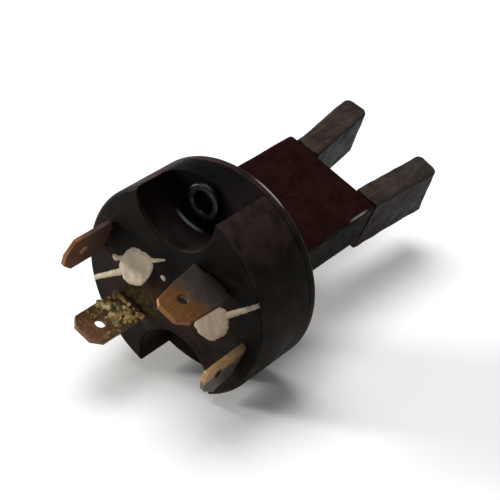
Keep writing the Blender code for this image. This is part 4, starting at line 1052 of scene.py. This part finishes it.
def seal(side):
    """Sealing compound: a low dome with ragged edges, and beads that run off it."""
    shape = SEALS[side]

    def depth(x, z):
        point = Vector((x, z))
        nearest = min(blob(point, *args) for args in shape["blobs"])
        lines = min(capsule(point, *args) for args in shape["lines"])
        ragged = 0.10 * noise.noise(Vector((x * 1.4, z * 1.4, 3.0)))
        ragged += 0.06 * noise.noise(Vector((x * 4.0, z * 4.0, 7.0)))
        return min(nearest, lines) + ragged

    points = [args[0] for args in shape["blobs"]] + [args[0] for args in shape["lines"]]
    below, above = SEAL_MARGIN
    low_x, high_x = min(p.x for p in points) - below, max(p.x for p in points) + below
    low_z, high_z = min(p.y for p in points) - below, max(p.y for p in points) + above
    columns, rows = int((high_x - low_x) / SEAL_CELL), int((high_z - low_z) / SEAL_CELL)
    inside = {}
    for column in range(columns + 1):
        for row in range(rows + 1):
            x, z = low_x + column * SEAL_CELL, low_z + row * SEAL_CELL
            if math.hypot(x, z) > DRUM_R - SEAL_FROM_RIM:
                continue
            gap = depth(x, z)
            if gap < SEAL_SKIRT:
                inside[column, row] = (x, z, gap)
    bm = bmesh.new()
    tops, roots = {}, {}
    for key, (x, z, gap) in inside.items():
        rise = 1 - math.exp(gap / SEAL_DOME) if gap < 0 else -gap / SEAL_SLOPE
        lumps = 0.5 + 0.5 * noise.noise(Vector((x * 0.9, z * 0.9, 1.0)))
        grit = SEAL_GRIT * noise.noise(Vector((x * 3.5, z * 3.5, 5.0)))
        height = SEAL_PROUD * (0.45 + 0.55 * lumps) * rise + (grit if gap < 0 else 0.0)
        round_off = max(0.0, math.hypot(x, z) - (DRUM_R - RIM_ROUND))
        drop = RIM_ROUND - math.sqrt(max(0.0, RIM_ROUND ** 2 - round_off ** 2))
        tops[key] = bm.verts.new((x, -height + drop, z))
        roots[key] = bm.verts.new((x, SEAL_ROOT + drop, z))
    cells = [(c, r) for (c, r) in inside
             if all((c + dc, r + dr) in inside for dc, dr in ((1, 0), (0, 1), (1, 1)))]
    filled = set(cells)
    beside = ((0, -1), (1, 0), (0, 1), (-1, 0))
    for c, r in cells:
        ring = ((c, r), (c + 1, r), (c + 1, r + 1), (c, r + 1))
        bm.faces.new([tops[key] for key in ring])
        bm.faces.new([roots[key] for key in reversed(ring)])
        for a, b, (dc, dr) in zip(ring, ring[1:] + ring[:1], beside):
            if (c + dc, r + dr) not in filled:
                bm.faces.new((tops[a], tops[b], roots[b], roots[a]))
    bmesh.ops.delete(bm, geom=[v for v in bm.verts if not v.link_faces], context="VERTS")
    finish(link("seal", bm), f"{side}_seal", BASE, "cream_sealant", [f"seal_{side}"], sharp=60)


# ---- inner pieces that stay as in the CAD

INNER = {
    "jaw_clip": "spring_brass", "hinge_strap": "spring_brass", "jaw_rivet": "fastener_steel",
    "strap_rivet": "fastener_steel", "pivot_pin": "fastener_steel", "friction_washer": "fastener_steel",
    "contact_arm": "arm_copper", "arm_rivet": "fastener_steel",
}


def paint_inner():
    """Finish the CAD nodes that stay."""
    kept = {f"{stem}_{side}": slot for stem, slot in INNER.items() for side in SIGN}
    kept["pole_barrier"] = "barrier_fibre"
    for node, slot in kept.items():
        mesh = frame["nodes"][node].data
        mesh.materials.clear()
        mesh.materials.append(PAINTS[slot])


# ---- stage


def floor():
    """A pale, faintly uneven table."""
    bm = bmesh.new()
    bmesh.ops.create_grid(bm, x_segments=1, y_segments=1, size=FLOOR_HALF,
                          matrix=Matrix.Translation((0, 0, cad_box[0].z)))
    made = link("floor", bm)
    p = Paint("floor_paper", Specular_IOR_Level=0.1)
    tone = p.noise(40.0, 3.0, 0.5)
    made.data.materials.append(p.done(p.mix(tone, (0.90, 0.90, 0.895), (0.93, 0.93, 0.925)), 0.85))


def lamp(name, power, size, place, colour=(1, 1, 1)):
    """A soft square lamp that looks at the object."""
    light = bpy.data.lights.new(name, "AREA")
    light.energy, light.size, light.color = power, size, colour
    made = bpy.data.objects.new(name, light)
    made.location = place
    made.rotation_euler = (Vector(LIT) - Vector(place)).to_track_quat("-Z", "Y").to_euler()
    bpy.context.scene.collection.objects.link(made)


def stage():
    """Floor, soft studio light and the camera."""
    floor()
    world = bpy.data.worlds.new("studio")
    bpy.context.scene.world = world
    world.use_nodes = True
    sky = world.node_tree.nodes["Background"].inputs
    sky[0].default_value, sky[1].default_value = (0.95, 0.97, 1.0, 1.0), WORLD_LIGHT
    lamp("key", KEY_POWER, KEY_SIZE, KEY_AT, (1.0, 0.975, 0.94))
    lamp("top", TOP_POWER, TOP_SIZE, TOP_AT)
    level = math.cos(ELEVATION)
    forward = Vector((-math.sin(AZIMUTH) * level, math.cos(AZIMUTH) * level, -math.sin(ELEVATION)))
    camera = bpy.data.cameras.new("camera")
    camera.lens, camera.sensor_width = LENS, SENSOR
    camera.clip_start, camera.clip_end = CLIP
    made = bpy.data.objects.new("camera", camera)
    made.location = (AIM - forward * DISTANCE) / METRE
    made.rotation_euler = forward.to_track_quat("-Z", "Y").to_euler()
    bpy.context.scene.collection.objects.link(made)
    bpy.context.scene.camera = made
    bpy.context.scene.view_settings.view_transform = "Standard"


drum_shell()
rear_disc()
eyelet()
all_screws()
block()
for each in TABS:
    tab(each)
crust()
for each in SIGN:
    blade(each)
    seal(each)
paint_inner()
stage()
